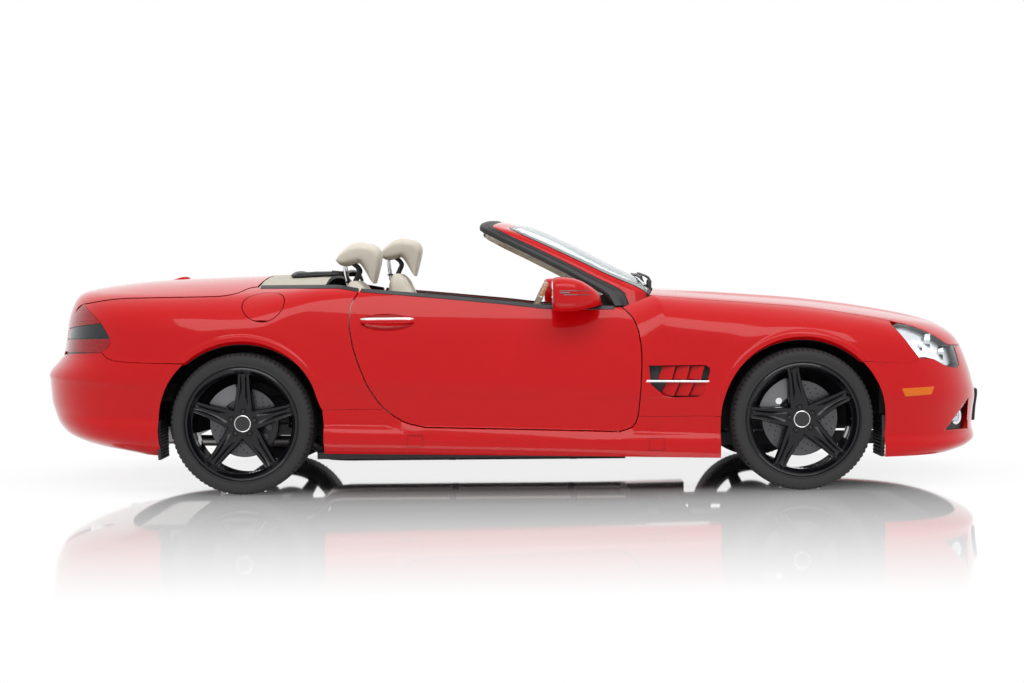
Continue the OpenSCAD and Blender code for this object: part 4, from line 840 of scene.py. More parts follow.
def make_tyre(name, tyre_w):
    w, r, hw = tyre_w / 2, RIM_R, tyre_w / 2 - 8
    wall = [[r - 9, hw - 11], [r + 2, hw - 6], [r + 5, w - 6], [r + 9, w - 2], [r + 14, w - 4],
            [r + 24, w - 1],
            [r + 36, w], [r + 46, w - 3], [TYRE_R - 15, w - 7]]
    shoulder = [[TYRE_R - 9, w - 12], [TYRE_R - 4, w - 21], [TYRE_R - 1.5, w - 32], [TYRE_R - 0.8, w - 43]]
    grooves, y = [], w - 43
    for centre in (w - 48, 24):
        top = TYRE_R - 0.2
        grooves += [[top, centre + 5], [TYRE_R - 7, centre + 3.5], [TYRE_R - 7, centre - 3.5],
                    [top, centre - 5]]
    half = wall + shoulder + grooves
    profile = np.array(half + [[a, -b] for a, b in reversed(half)])
    tread = np.zeros(len(profile), bool)
    for i, (a, b) in enumerate(profile):
        tread[i] = a > TYRE_R - 12 and abs(b) > w - 44
    steps = 4 * BLOCKS
    t = np.linspace(0, 2 * np.pi, steps, endpoint=False)
    cut_depth = np.where(np.arange(steps) % 4 == 0, 5.5, 0.0)
    radius = profile[None, :, 0] - cut_depth[:, None] * tread[None, :]
    points = np.stack([radius * np.cos(t)[:, None], np.broadcast_to(profile[None, :, 1], radius.shape),
                       radius * np.sin(t)[:, None]], -1)
    k = len(profile)
    faces = [[j * k + i, j * k + (i + 1) % k, ((j + 1) % steps) * k + (i + 1) % k,
              ((j + 1) % steps) * k + i]
             for j in range(steps) for i in range(k)]
    return outwards(make(name, points.reshape(-1, 3), faces, [rubber], angle=38))


WHEELS = [      # axle, x, middle of the tyre, tyre width, disc, angle of the first spoke on the right side
    ("front", FRONT_X, 780, 255, 348, [100, 28, -38, -110, 172]),
    ("rear", REAR_X, 770, 275, 320, [88, 16, -56, -128, 160]),
]
for axle, x, y, tyre_w, disc_d, angles in WHEELS:
    wheel = make_wheel("wheel", tyre_w, disc_d, [angles[0] + 72 * i for i in range(5)])
    tyre = make_tyre("tyre", tyre_w)
    for side, way in SIDES.items():
        place = Matrix.Translation((x * MM, way * y * MM, AXLE_Z * MM)) @ Matrix.Diagonal((1, way, 1, 1))
        dress(copy_to(wheel, f"alloy_{axle}_{side}", place), [f"wheel_{axle}_{side}"],
              f"wheel_{axle}_{side}")
        dress(copy_to(tyre, f"rubber_{axle}_{side}", place), [f"tyre_{axle}_{side}"],
              f"wheel_{axle}_{side}")
    bpy.data.objects.remove(wheel)
    bpy.data.objects.remove(tyre)

# Calipers ride on the knuckles and the rear carriers. The front ones show their bright pistons.
cast_black = finish("cast_black", (0.02, 0.02, 0.022), 0.45, metallic=0.4, mottle=0.15, grain=200, bump=0.2)
for side, way in SIDES.items():
    for axle, x, y, radius, mid in (("front", FRONT_X, 780, 128, 152), ("rear", REAR_X, 770, 118, -22)):
        t = math.radians(mid)
        parts = []
        for apart in (-11, 11):
            a = t + math.radians(apart)
            piston = lathe("piston", [[0, 43], [15, 43], [17, 41], [17, 36], [0, 36]],
                           [bolt_steel if axle == "rear" else chrome], 24)
            piston.data.transform(Matrix.Translation((radius * math.cos(a) * MM, 0,
                                                      radius * math.sin(a) * MM)))
            parts.append(piston)
        housing = loft("caliper", [[((radius + u) * math.cos(t + b), h, (radius + u) * math.sin(t + b))
                                    for u,
                                    h in ((-30, 27), (-32, 35), (-24, 40), (24, 40), (40, 35), (42, 27))]
                                   for b in np.radians(np.linspace(-25, 25, 13))], [cast_black], angle=40)
        parts.append(housing)
        caliper = merge(f"caliper_{axle}_{side}", parts)
        caliper.data.transform(Matrix.Translation((x * MM, way * y * MM,
                                                   AXLE_Z * MM)) @ Matrix.Diagonal((1, way, 1, 1)))
        if way < 0:
            caliper.data.flip_normals()
        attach(caliper, f"knuckle_{side}" if axle == "front" else "root")


# ---------------------------------------------------------------------------------------------
# Windscreen. Laminated glass, bonded into a painted steel frame whose rear face carries the rubber
# seal for the roof and the side windows. The frame is trimmed in leather on the inside.
# ---------------------------------------------------------------------------------------------
glass = finish("screen_glass", (0.86, 0.95, 0.96), 0.0, mottle=0.0, grain=1, Transmission_Weight=1.0,
               IOR=1.12)
seal_rubber = finish("seal_rubber", (0.014, 0.014, 0.016), 0.5, mottle=0.2, grain=300, bump=0.1)
# [u, front edge xyz, rear edge xyz, way to the inner face xyz]
FRAME = [
    [0, 636, 712, 850, 475, 765, 850, 0, -40, 0], [1, 627, 692, 906, 450, 740, 902, 0, -10, -36],
    [2, 420, 674, 1010, 300, 708, 996, 0, -8, -34], [3, 190, 640, 1122, 84, 666, 1110, 0, -8, -34],
    [4, 30, 590, 1198, -85, 612, 1196, -2, -8, -34], [5, -6, 500, 1222, -148, 530, 1236, -2, -4, -36],
    [6, 20, 330, 1236, -118, 350, 1262, 0, -4, -38], [7, 50, 0, 1246, -78, 0, 1277, 0, 0, -38]]
# Round the frame's section: [share from front to rear, share inwards, stands out by,
# slot of the face that follows]
SECTION = [[0.00, 0.10, 0, 0], [0.06, 0.0, 0, 0], [0.30, 0.0, 3, 0], [0.52, 0.0, 2.5, 0], [0.56, 0.0, 0, 1],
           [0.58, 0.0, -4, 1], [0.62, 0.0, -1, 1], [0.70, 0.0, -1, 1], [0.72, 0.0, -5, 1],
           [0.76, 0.0, -5, 1],
           [0.78, 0.0, -1, 1], [0.92, 0.0, -1, 1], [0.98, 0.08, 0, 1], [1.0, 0.25, 0, 1], [1.0, 0.62, 0, 1],
           [0.94, 0.68, 0, 1], [0.92, 0.80, 0, 2], [0.86, 0.98, 0, 2], [0.70, 1.0, 0, 2], [0.20, 1.0, 0, 2],
           [0.05, 0.96, 0, 2], [0.0, 0.80, 0, 1]]
u = np.linspace(0, 7, 85)
front_edge, rear_edge, inward = [np.stack([look(FRAME, u, c + i) for i in range(3)], -1) for c in (1, 4, 7)]
outward = -inward / np.linalg.norm(inward, axis=1)[:, None]
# Rings across the frame run from the left foot over the top to the right foot.
rings = np.stack([front_edge + (rear_edge - front_edge) * s + inward * i + outward * out
                  for s, i, out, _ in SECTION], 1)
rings = np.vstack([rings, (rings * [1, -1, 1])[-2::-1]])
frame_slots = [row[3] for row in SECTION] * (len(rings) - 1) + [0, 0]
screen_frame = loft("screen_frame", rings, [red_paint, seal_rubber, cream_leather], slots=frame_slots,
                    angle=32)
dress(screen_frame, ["windscreen_frame"], "root")

GLASS_BASE = [[0, 662, 950], [350, 656, 942], [560, 645, 926], [692, 627, 906]]
GLASS_BOW, GLASS_T = 26, 5
GLASS_OUT = np.array([0.42, 0, 0.9])     # the way out of the glass, at its middle


def glass_edge(us, away):
    return np.stack([look(FRAME, us, c) for c in (1, 2, 3)], -1) + away


side_edge = glass_edge(np.linspace(1, 5, 49), [0, -1.2, -0.2])
header = glass_edge(np.linspace(5, 7, 25), [3.2, 0, -0.4])
top_half = np.vstack([side_edge[-1], header[1:]])
glass_top = np.vstack([top_half, (top_half * [1, -1, 1])[-2::-1]])
ys = np.linspace(690.8, -690.8, 49)
glass_bottom = np.column_stack([look(GLASS_BASE, np.abs(ys), 1), ys, look(GLASS_BASE, np.abs(ys), 2) + 0.4])
glass_left = np.vstack([glass_bottom[0], side_edge[1:]])
glass_right = glass_left * [1, -1, 1]
t = np.sin(np.pi * np.linspace(0, 1, 49))
bow = t[:, None, None] * t[None, :, None] * GLASS_OUT
screen = patch(glass_bottom, glass_top, glass_left, glass_right) + GLASS_BOW * bow
screen = screen[:, ::-1]
windscreen = between("screen_glass_pane", screen, screen - GLASS_T * GLASS_OUT, [glass], bevel=0)
dress(windscreen, ["windscreen"], "root")
# A black band is fired on the glass round its edge.
for name, rows, cols in (("screen_band_top", slice(45, 49), slice(None)),
                         ("screen_band_base", slice(0, 3), slice(None)),
                         ("screen_band_left", slice(None), slice(46, 49)),
                         ("screen_band_right", slice(None), slice(0, 3))):
    strip = screen[rows, cols] + GLASS_OUT * 0.5
    band = between(name, strip, strip - GLASS_OUT * 0.4, [black_gloss], bevel=0)
    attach(band, "root")

# ---------------------------------------------------------------------------------------------
# Cowl and wipers. A black plastic grille lies at the foot of the glass; two arms with rubber blades
# turn on spindles in it.
# ---------------------------------------------------------------------------------------------
plastic = finish("black_plastic", (0.018, 0.018, 0.019), 0.55, mottle=0.2, grain=600, bump=0.3)


def rod(name, points, radius, finishes, sides=12, flat=1.0):
    """A round or flattened bar along points, in millimetres."""
    p = np.asarray(points, float)
    tangent = np.gradient(p, axis=0)
    tangent /= np.linalg.norm(tangent, axis=1)[:, None]
    up = np.array([0, 0, 1.0]) if abs(tangent[len(p) // 2, 2]) < 0.9 else np.array([1.0, 0, 0])
    across = np.cross(tangent, up)
    length = np.linalg.norm(across, axis=1)
    across[length < 1e-6] = across[np.argmax(length >= 1e-6)]     # where the bar runs straight up
    across /= np.linalg.norm(across, axis=1)[:, None]
    over = np.cross(across, tangent)
    radii = np.broadcast_to(radius, (len(p),))
    a = np.linspace(0, 2 * np.pi, sides, endpoint=False)
    rings = [p[i] + radii[i] * (np.cos(a)[:, None] * across[i] + flat * np.sin(a)[:, None] * over[i])
             for i in range(len(p))]
    return loft(name, rings, finishes)


wiper_parts = []
for y, x in ((-420, 663), (180, 675)):
    arm = [(x, y, 958), (x, y, 972), (x - 7, y + 20, 982), (x - 22, y + 130, 994), (x - 34, y + 262, 1003)]
    blade = [(x - 40, e + y, 995 - 22 * ((y + e) / 600) ** 2) for e in np.linspace(-60, 480, 16)]
    wiper_parts.append(rod("arm", smooth(arm, 16), np.linspace(7.5, 4.5, 17), [black_trim]))
    wiper_parts.append(rod("blade", blade, 4.5, [black_trim], flat=1.6))
    wiper_parts.append(rod("spindle", [(x, y, 900), (x, y, 962), (x, y, 970)], [11, 13, 8], [black_trim]))
wipers = merge("wiper_pair", wiper_parts)
dress(wipers, ["wipers"], "root")
cowl_slats = []
for i in range(34):
    y = -620 + 1240 * i / 33
    x0 = float(look(GLASS_BASE, abs(y), 1)) + 6
    x1 = float(hood_rear(y)) - 10
    if x1 - x0 > 12 and min(abs(y + 420), abs(y - 180)) > 22:
        z = 1 + float(look(LENGTHWISE, x1, 2) - look(LENGTHWISE, x1, 3) * (abs(y) / 700) ** 2.4) - 3
        z0 = float(look(GLASS_BASE, abs(y), 2)) + 1
        cowl_slats.append(rod("slat", [(x0, y, z0), (x1, y, z)], 1.6, [plastic], sides=6))
cowl_grille = merge("cowl_slats", cowl_slats)
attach(cowl_grille, "root")

# ---------------------------------------------------------------------------------------------
# On the doors: mirrors with painted cases, glass and a blinker strip; bright pull handles; the belt
# seals along the doors and quarters.
# ---------------------------------------------------------------------------------------------
mirror_silver = finish("mirror_silver", (0.88, 0.89, 0.90), 0.02, metallic=1.0, mottle=0.0, grain=1)
blinker = finish("blinker_lens", (0.06, 0.06, 0.065), 0.10, coat=1.0, mottle=0.3, grain=120)
# Sections of a mirror's case from its glass forwards: [x, middle y, middle z, half width, half height]
MIRROR_CASE = [[186, 940, 906, 84, 68], [196, 940, 906, 90, 75], [225, 940, 905, 94, 79],
               [270, 938, 903, 92, 76],
               [310, 934, 900, 84, 67], [345, 926, 894, 72, 54], [375, 916, 887, 54, 40],
               [396, 906, 882, 32, 25],
               [404, 900, 880, 10, 8]]


def mirror_for(obj, way):
    """The piece as made for the left side, or its mirror image on the right."""
    if way < 0:
        obj.data.transform(Matrix.Diagonal((1, -1, 1, 1)))
        obj.data.flip_normals()
    return obj


a = np.linspace(0, 2 * np.pi, 64, endpoint=False)
oval = np.stack([np.sign(np.cos(a)) * np.abs(np.cos(a)) ** 0.72,
                 np.sign(np.sin(a)) * np.abs(np.sin(a)) ** 0.72], -1)
case_rings = [np.column_stack([np.full(64, x), y + w * oval[:, 0], z + h * oval[:, 1]])
              for x, y, z, w, h in smooth(MIRROR_CASE, 36)]
for side, way in SIDES.items():
    case = loft(f"mirror_case_{side}", case_rings, [red_paint], angle=45)
    glass_rings = [np.column_stack([np.full(64, x), 940 + 76 * s * oval[:, 0], 906 + 61 * s * oval[:, 1]])
                   for x, s in ((185.6, 1.02), (183.4, 1.0))]
    face = loft(f"mirror_face_{side}", glass_rings, [mirror_silver], angle=30)
    rim = loft("mirror_rim",
               [np.column_stack([np.full(64, x), 940 + 83 * s * oval[:, 0], 906 + 67 * s * oval[:, 1]])
                              for x, s in ((188, 1.01), (184.6, 0.99))], [black_trim])
    foot = loft("mirror_foot", [[(x0, 800, z0), (x1, 800, z0), (x1, 800, z1), (x0, 800, z1)] if k == 0 else
                                [(x0, 905, z0 + 22), (x1, 905, z0 + 22), (x1, 905, z1 + 26),
                                 (x0, 905, z1 + 26)]
                                for k, (x0, x1, z0,
                                        z1) in enumerate([(322, 420, 846, 862), (330, 392, 846, 862)])],
                [red_paint])
    modify(foot, "BEVEL", width=5 * MM, segments=4)
    strips = []
    for z, x0, x1 in ((921, 212, 352), (903, 232, 356), (912, 214, 262)):
        xs = np.linspace(x0, x1, 20)
        mids = smooth(MIRROR_CASE, 200)
        ym = np.interp(xs, mids[:, 0], mids[:, 1]) + np.interp(xs, mids[:, 0], mids[:, 3]) * (1 - np.abs(
            (z - np.interp(xs, mids[:, 0], mids[:, 2])) / np.interp(xs, mids[:, 0],
                                                                    mids[:, 4])) ** 2.77) ** 0.36
        strips.append(rod("blinker", np.column_stack([xs, ym - 0.6, np.full(20, z)]),
                          [0.8] + [3.4 if z == 912 else 2.2] * 18 + [0.8], [blinker], sides=8))
    parts = merge(f"mirror_trim_{side}", [rim, face] + strips)
    whole = merge(f"mirror_case_{side}", [case, foot])
    for o in (parts, whole):
        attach(mirror_for(o, way), f"door_{side}")
    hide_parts(f"mirror_{side}")

    xs = np.linspace(HANDLE_X[0] - 4, HANDLE_X[1] + 4, 40)
    q = seen(np.column_stack([xs, np.full(40, HANDLE_Z)]))
    s = np.linspace(-1, 1, 40)
    q[:, 1] += 21 - 9 * np.abs(s) ** 6
    thick = 11.5 * (1 - np.abs(s) ** 8 * 0.5)
    grip = rod("grip", q - np.array([0, 0, 5]), thick, [red_paint], sides=24, flat=1.0)
    bright = rod("bright", q + np.column_stack([np.zeros(40), 2.4 + 0 * s, 5.2 + 0 * s]),
                 7.2 * (1 - np.abs(s) ** 10 * 0.6), [chrome], sides=20)
    posts = [rod("post", [q[k] + [0, -34, -6], q[k] + [0, -6, -5]], 9, [red_paint], sides=16) for k in (3,
                                                                                                        36)]
    lock = lathe("lock", [[0, 2], [6, 2], [6, 0], [0, 0]], [black_trim], 24)
    lock.data.transform(Matrix.Translation(Vector(q[9] + [0, 8, -6]) * MM))
    handle = mirror_for(merge(f"pull_handle_{side}", [grip, bright] + posts + [lock]), way)
    dress(handle, [f"door_handle_{side}"], f"door_{side}")

    # Belt seals, as a low black moulding on the panel's top edge
    for name, span, body in (("door", (-693, 470), f"door_{side}"), ("quarter", (-1178, -706), "root")):
        xs = np.linspace(*span, 80)
        edge_line = np.vstack([quarter_top[80:-1], smooth(BELT, 96)])
        zs = np.interp(xs, edge_line[:, 0], edge_line[:, 1])
        q = seen(np.column_stack([xs, zs - 9]))
        low, high = q.copy(), q.copy()
        low[:, 1] += 2.5
        high[:, 1] = seen(np.column_stack([xs, zs]))[:, 1] + 1.0
        high[:, 2] = zs + 8
        back, sill = high.copy(), low.copy()
        back[:, 1] -= 30
        sill[:, 1] -= 26
        # The section turns from the outer lip over the top to the inner edge.
        rings = np.stack([low, high, back, sill], 1)
        moulding = mirror_for(loft(f"belt_seal_{name}_{side}", rings, [black_trim], angle=40), way)
        modify(moulding, "BEVEL", width=2.5 * MM, segments=3, limit_method="ANGLE",
               angle_limit=math.radians(50))
        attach(moulding, body)


# ---------------------------------------------------------------------------------------------
# Headlamps. Clear polycarbonate lenses over dark cases, each with two bright reflectors, glass
# projectors and an amber corner.
# ---------------------------------------------------------------------------------------------
clear_lens = finish("clear_lens", (0.93, 0.95, 0.97), 0.02, mottle=0.0, grain=1, Transmission_Weight=1.0,
                    IOR=1.15)
lamp_case = finish("lamp_case", (0.86, 0.87, 0.89), 0.24, metallic=0.75, mottle=0.05, grain=90)
lamp_dark = finish("lamp_dark", (0.02, 0.02, 0.022), 0.3, mottle=0.1, grain=90)
amber = finish("amber_lens", (0.78, 0.16, 0.004), 0.2, coat=1.0, mottle=0.12, grain=160, bump=0.12,
               Specular_IOR_Level=0.1)
projector_glass = finish("projector_glass", (0.62, 0.70, 0.80), 0.04, mottle=0.02, grain=20, metallic=0.6)

outside = round_nose(even(smooth(HEADLAMP_EDGE, 30) + [SEAM, 0], 30))
top_corner = np.array([56.4, float(look(HOOD_NOSE, 56.4)) - HALF_GAP])
a = np.array([38.2, 39.6, 41, 44, 47, 50, 53])
lamp_top = np.vstack([np.column_stack([a, look(HOOD_NOSE, a) - HALF_GAP]), top_corner])
lamp_bottom = np.vstack([[[38.9, 557], [41.4, 543], [43.6, 550], [46, 557], [48.5, 574], [51, 593],
                          [53.4, 598]],
                         outside[:1]])
lamp_top, lamp_bottom = smooth(lamp_top, 42), smooth(lamp_bottom, 42)
lamp_right = np.vstack([outside[:-1], top_corner])
lamp_rays = patch(lamp_bottom, lamp_top, line(lamp_bottom[0], lamp_top[0], 30), lamp_right)


def aim(obj, at, direction):
    """Turns a lathe piece so that its +Y looks along a direction, at a point."""
    turn = Vector(direction).to_track_quat("Y", "Z").to_matrix().to_4x4()
    obj.data.transform(Matrix.Translation(Vector(at) * MM) @ turn)
    return obj


BOWL = [[46, 0], [44, -4], [34, -22], [22, -32], [20, -34], [52, -34], [52, 0], [46, 0]]
for side, way in SIDES.items():
    lens = handed(f"headlamp_lens_{side}", way, skin("nose", lamp_rays, -1.5), skin("nose", lamp_rays, 1.5),
                  [clear_lens], bevel=0.8)
    middle = lamp_rays[15, 21]
    deep = lamp_rays + (middle - lamp_rays) * 0.35
    case = handed(f"headlamp_case_{side}", way, skin("nose", lamp_rays + (middle - lamp_rays) * 0.14, 34),
                  skin("nose", deep, 44), [lamp_case], bevel=0)
    rim_rays = lamp_rays + (middle - lamp_rays) * 0.005
    ring = np.concatenate([rim_rays[0], rim_rays[1:, -1], rim_rays[-1, -2::-1], rim_rays[-2:0:-1, 0]])
    ring_in = ring + (middle - ring) * 0.14
    wall = np.stack([skin("nose", ring, 1.8), skin("nose", ring_in, 34)]) * [1, way, 1]
    n = wall.shape[1]
    skirt = make(f"headlamp_bezel_{side}", wall.reshape(-1, 3),
                 [[i, (i + 1) % n, (i + 1) % n + n, i + n] for i in range(n)], [lamp_dark], angle=50)
    modify(skirt, "SOLIDIFY", thickness=0.0012, offset=0)
    parts = []
    for at, size, glow in (((47.4, 668), 0.72, projector_glass), ((43.2, 612), 0.62, projector_glass),
                           ((51.6, 648), 0.40, amber)):
        p = skin("nose", np.array(at), 26, styled=False)
        direction = (0.93, 0.36, 0.0)
        bowl = lathe("bowl", [[r * size, y * size] for r, y in BOWL], [chrome], 40)
        ball = lathe("projector", [[0, -4 * size], [14 * size, -7 * size], [24 * size, -14 * size],
                                   [28 * size, -22 * size], [28 * size, -30 * size], [0, -30 * size]],
                                   [glow], 40)
        parts += [aim(bowl, p, direction), aim(ball, p, direction)]
    reflectors = mirror_for(merge(f"headlamp_reflectors_{side}", parts), way)
    for o in (lens, case, skirt, reflectors):
        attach(o, "root")
    if way > 0:
        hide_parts("headlamps")

# ---------------------------------------------------------------------------------------------
# Tail lamps. Red lenses with a smoked band across the middle, over dark cases.
# ---------------------------------------------------------------------------------------------
red_lens = finish("red_lens", (0.34, 0.004, 0.008), 0.12, coat=1.0, mottle=0.45, grain=150, bump=0.06,
                  Specular_IOR_Level=0.1)
smoke_lens = finish("smoke_lens", (0.018, 0.022, 0.025), 0.08, coat=1.0, mottle=0.5, grain=140, bump=0.06,
                    Specular_IOR_Level=0.1)
lamp_edge = round_nose(even(smooth(TAIL_LAMP_EDGE, 30) - [SEAM, SEAM], 48))
tip = round_nose(np.array(QUARTER_TOP[0], float))
inside_edge = lid_side(np.linspace(651, 832, 43), HALF_GAP + 2)
last = inside_edge[-1] * 0.6 + (tip + [0.9, 0]) * 0.4
inside_edge = np.vstack([inside_edge[:-1], line(inside_edge[-1], last, 6)])
outside_edge = lamp_edge[:len(inside_edge)]
lamp_rays = patch(line(outside_edge[0], inside_edge[0], 36), line(outside_edge[-1], inside_edge[-1], 36),
                  outside_edge, inside_edge)
BANDS = [(0.0, 0.27, red_lens), (0.285, 0.53, smoke_lens), (0.545, 0.62, red_lens), (0.63, 1.0, red_lens)]
for side, way in SIDES.items():
    pieces = []
    rows = lamp_rays.shape[0] - 1
    for k, (start, end, m) in enumerate(BANDS):
        part = lamp_rays[round(start * rows):round(end * rows) + 1]
        lift = 1.5 if k != 1 else 0.2
        pieces.append(handed("lens", -way, skin("tail", part, -lift), skin("tail", part, 6), [m],
                             bevel=1.5))
    middle = lamp_rays[24, 18]
    foot = np.stack([lamp_rays[0] - [0, 16], lamp_rays[0] + [0, 3]])
    pieces.append(handed("gasket", -way, skin("tail", foot, 7), skin("tail", foot, 12), [lamp_dark],
                         bevel=0))
    pieces.append(handed("case", -way, skin("tail", lamp_rays, 4),
                         skin("tail", lamp_rays + (middle - lamp_rays) * 0.35, 40), [lamp_dark], bevel=0))
    lamp = merge(f"tail_lamp_{side}", pieces)
    lamp.data.transform(Matrix.Diagonal((1, -1, 1, 1)))
    lamp.data.flip_normals()
    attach(lamp, "root")
    if way > 0:
        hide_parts("tail_lamps")

# ---------------------------------------------------------------------------------------------
# Small trim. A silver grille with six slats and a blank round boss over mesh, fog lamps, amber side
# markers, jacking point covers, blank plates, and the boot's bright handle and fin aerial.
# ---------------------------------------------------------------------------------------------
grille_silver = finish("grille_silver", (0.60, 0.61, 0.62), 0.25, metallic=0.9, mottle=0.04, grain=80)
mesh_black = finish("mesh_black", (0.02, 0.02, 0.02), 0.5, mottle=0.3, grain=500, bump=0.5)


def grille_bound(share):
    """A line across the grille at this share of its height."""
    low = np.column_stack([np.linspace(-16.5, 16.5, 61), np.full(61, 448.6)])
    a = np.linspace(-21, 21, 61)
    high = np.column_stack([a, look(HOOD_NOSE, np.abs(a)) - LID_T - 6])
    return low + (high - low) * share


back_grid = np.stack([grille_bound(s) for s in np.linspace(0, 1, 9)])
backing = between("grille_backing", skin("nose", back_grid, 34), skin("nose", back_grid, 40), [mesh_black],
                  bevel=0)
slats = []
for share in (0.04, 0.24, 0.44, 0.64, 0.84, 0.985):
    row = np.stack([grille_bound(share), grille_bound(min(1, share + 0.055))])
    front = skin("nose", row, 12, styled=False)
    rear = skin("nose", row, 26)
    slats.append(between("slat", front, rear, [grille_silver], bevel=1.5))
for end in (0, -1):
    column = np.stack([back_grid[:, end], back_grid[:, end] + [(-1.2 if end else 1.2), 0]], 1)
    if end:
        column = column[:, ::-1]
    slats.append(between("post", skin("nose", column, 10, styled=False), skin("nose", column, 30),
                         [grille_silver],
                         bevel=1.5))
boss = lathe("boss", [[0, 10], [40, 8], [62, 4], [68, 0], [68, -12], [0, -12]], [grille_silver], 64)
boss_dish = lathe("boss_dish", [[0, 11.2], [46, 9.2], [52, 7.4], [50, 4], [0, 4]], [black_gloss], 64)
at = skin("nose", np.array([0.0, 556.0]), 12, styled=False)
for o in (boss, boss_dish):
    aim(o, at, (1, 0, 0.12))
slats += [boss, boss_dish]
grille = merge("grille_bars", slats)
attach(backing, "root")
dress(grille, ["grille"], "root")

# Fog lamps sit in pockets beside four louvres, with the side markers above them.
for side, way in SIDES.items():
    pocket_rays = round_nose(ruled(line((1990, 240), (2170, 240), 10), line((1990, 415), (2170, 415), 10),
                                   8))
    pocket = handed(f"fog_pocket_{side}", way, skin("nose", pocket_rays, 27), skin("nose", pocket_rays, 31),
                    [mesh_black], bevel=0)
    lamp_at = skin("nose", round_nose(np.array([2092.0, 316.0])), 16, styled=False)
    ring = lathe("fog_ring", [[26, 0], [34, 4], [38, 2], [38, -10], [26, -10], [26, 0]], [chrome], 48)
    eye = lathe("fog_eye", [[0, 2], [16, 0], [26, -5], [26, -10], [0, -10]], [projector_glass], 40)
    for o in (ring, eye):
        aim(o, lamp_at, (0.62, 0.78, 0.0))
    fog = mirror_for(merge(f"fog_lamp_{side}", [ring, eye]), way)
    louvres = []
    for k in range(4):
        z = 268 + 26 * k
        x0, x1 = 2012 + 26 * k, 2060 + 18 * k
        q = skin("nose", round_nose(np.column_stack([np.linspace(x0, x1, 8), np.full(8, z)])), 14,
                 styled=False)
        louvres.append(rod("louvre", q, 2.2, [mesh_black], sides=8))
    louvre = mirror_for(merge(f"fog_louvres_{side}", louvres), way)
    outline = smooth([[1776, 462], [1940, 466]], 24), smooth([[1792, 424], [1922, 430]], 24)
    marker_grid = round_nose(ruled(outline[1], outline[0], 6))
    marker = between(f"side_marker_{side}", skin("nose", marker_grid, -3.5) * [1, way, 1],
                     skin("nose", marker_grid, 4) * [1, way, 1], [amber], flipped=way > 0)
    for o in (pocket, fog, louvre, marker):
        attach(o, "root")
    # Jacking point covers: fine square joints in the skirt
    for x in (-446, 655):
        for x0, z0, x1, z1 in ((-34, -27, 34, -27), (-34, 27, 34, 27), (-34, -27, -34, 27),
                               (34, -27, 34, 27)):
            zc = 232 - 0.02 * x
            pts = line((x + x0, zc + z0), (x + x1, zc + z1), 6)
            groove = skin("side", from_side(pts))
            o = mirror_for(rod(f"jack_cover_{side}", groove, 0.9, [painted_hole_shade_and_black_joints], sides=6), way)
            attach(o, "root")

PLATE_Z = (262, 420)
half = math.degrees(math.atan2(260, 980))
plate_rays = ruled(line((-half, PLATE_Z[0]), (half, PLATE_Z[0]), 30),
                   line((-half, PLATE_Z[1]), (half, PLATE_Z[1]), 30), 12)
plate = between("front_plate_blank", skin("nose", plate_rays, -27, styled=False),
                skin("nose", plate_rays, -1, styled=False),
                [black_trim], bevel=6)
dress(plate, ["plate_bracket"], "root")
plate_white = finish("plate_white", (0.72, 0.72, 0.70), 0.4, mottle=0.02, grain=80)
rear_plate_rays = ruled(line((-14, 690), (14, 690), 20), line((-14, 800), (14, 800), 20), 8)
recess = between("rear_plate_blank", skin("tail", rear_plate_rays, -2.5, styled=False),
                 skin("tail", rear_plate_rays, 3, styled=False), [plate_white], bevel=2, flipped=True)
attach(recess, "boot_lid")
strip_rays = ruled(line((-15, 812), (15, 812), 20), line((-15, 828), (15, 828), 20), 3)
strip = between("boot_handle", skin("tail", strip_rays, -7, styled=False),
                skin("tail", strip_rays, 3, styled=False),
                [chrome], bevel=3, flipped=True)
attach(strip, "boot_lid")
fin = loft("fin_aerial", [[(x, -w, 985), (x, -w * 0.5, z - 4), (x, 0, z), (x, w * 0.5, z - 4), (x, w, 985)]
                          for x, w,
                          z in ((-1722, 3, 990), (-1705, 11, 995), (-1680, 16, 1003), (-1655, 18, 1007),
                                          (-1638, 14, 1005), (-1626, 3, 996))], [red_paint])
modify(fin, "SUBSURF", levels=2, render_levels=2)
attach(fin, "boot_lid")

# ---------------------------------------------------------------------------------------------
# Seats and headrests. Cream leather sewn over shaped foam, in channels between firm bolsters; the
# headrests stand on steel posts, and black frames carry the cushions over the floor.
# ---------------------------------------------------------------------------------------------
SEATS = {"right": (-746, 974), "left": (-590, 1012)}    # where each back ends at the top: x, z
SEAT_Y = 370
# From the top of the back, measured from there: [x, z, half thickness, half width]
BACK = [[-10, 0, 26, 168], [-6, -30, 44, 188], [0, -80, 55, 204], [20, -180, 66, 218], [52, -310, 80, 228],
        [86, -450, 92, 230], [108, -560, 78, 230], [108, -684, 40, 226]]
# From the rear of the cushion to its front lip
CUSHION = [[176, -628, 62, 236], [270, -617, 74, 246], [420, -610, 68, 248], [560, -604, 58, 248],
           [640, -606, 46, 244], [668, -610, 30, 236]]
# Round the hooked headrest from its rear tip: over the top, and along the hollow side
HEAD_OUTER = [[-94, 101], [-82, 130], [-53, 158], [-17, 180], [24, 187], [74, 178], [110, 157], [121, 127],
              [116, 91], [108, 58], [98, 22], [88, -8]]
HEAD_INNER = [[-94, 96], [-79, 78], [-58, 72], [-27, 77], [8, 86], [26, 72], [40, 50], [54, 26], [66, 4],
              [80, -14]]


def table_along(table, shares):
    """A table's columns at shares of its length, measured in its first two columns."""
    t = smooth(np.array(table, float), 160)
    run = np.concatenate([[0], np.cumsum(np.linalg.norm(np.diff(t[:, :2], axis=0), axis=1))])
    return np.column_stack([np.interp(shares * run[-1], run, t[:, k]) for k in range(t.shape[1])])


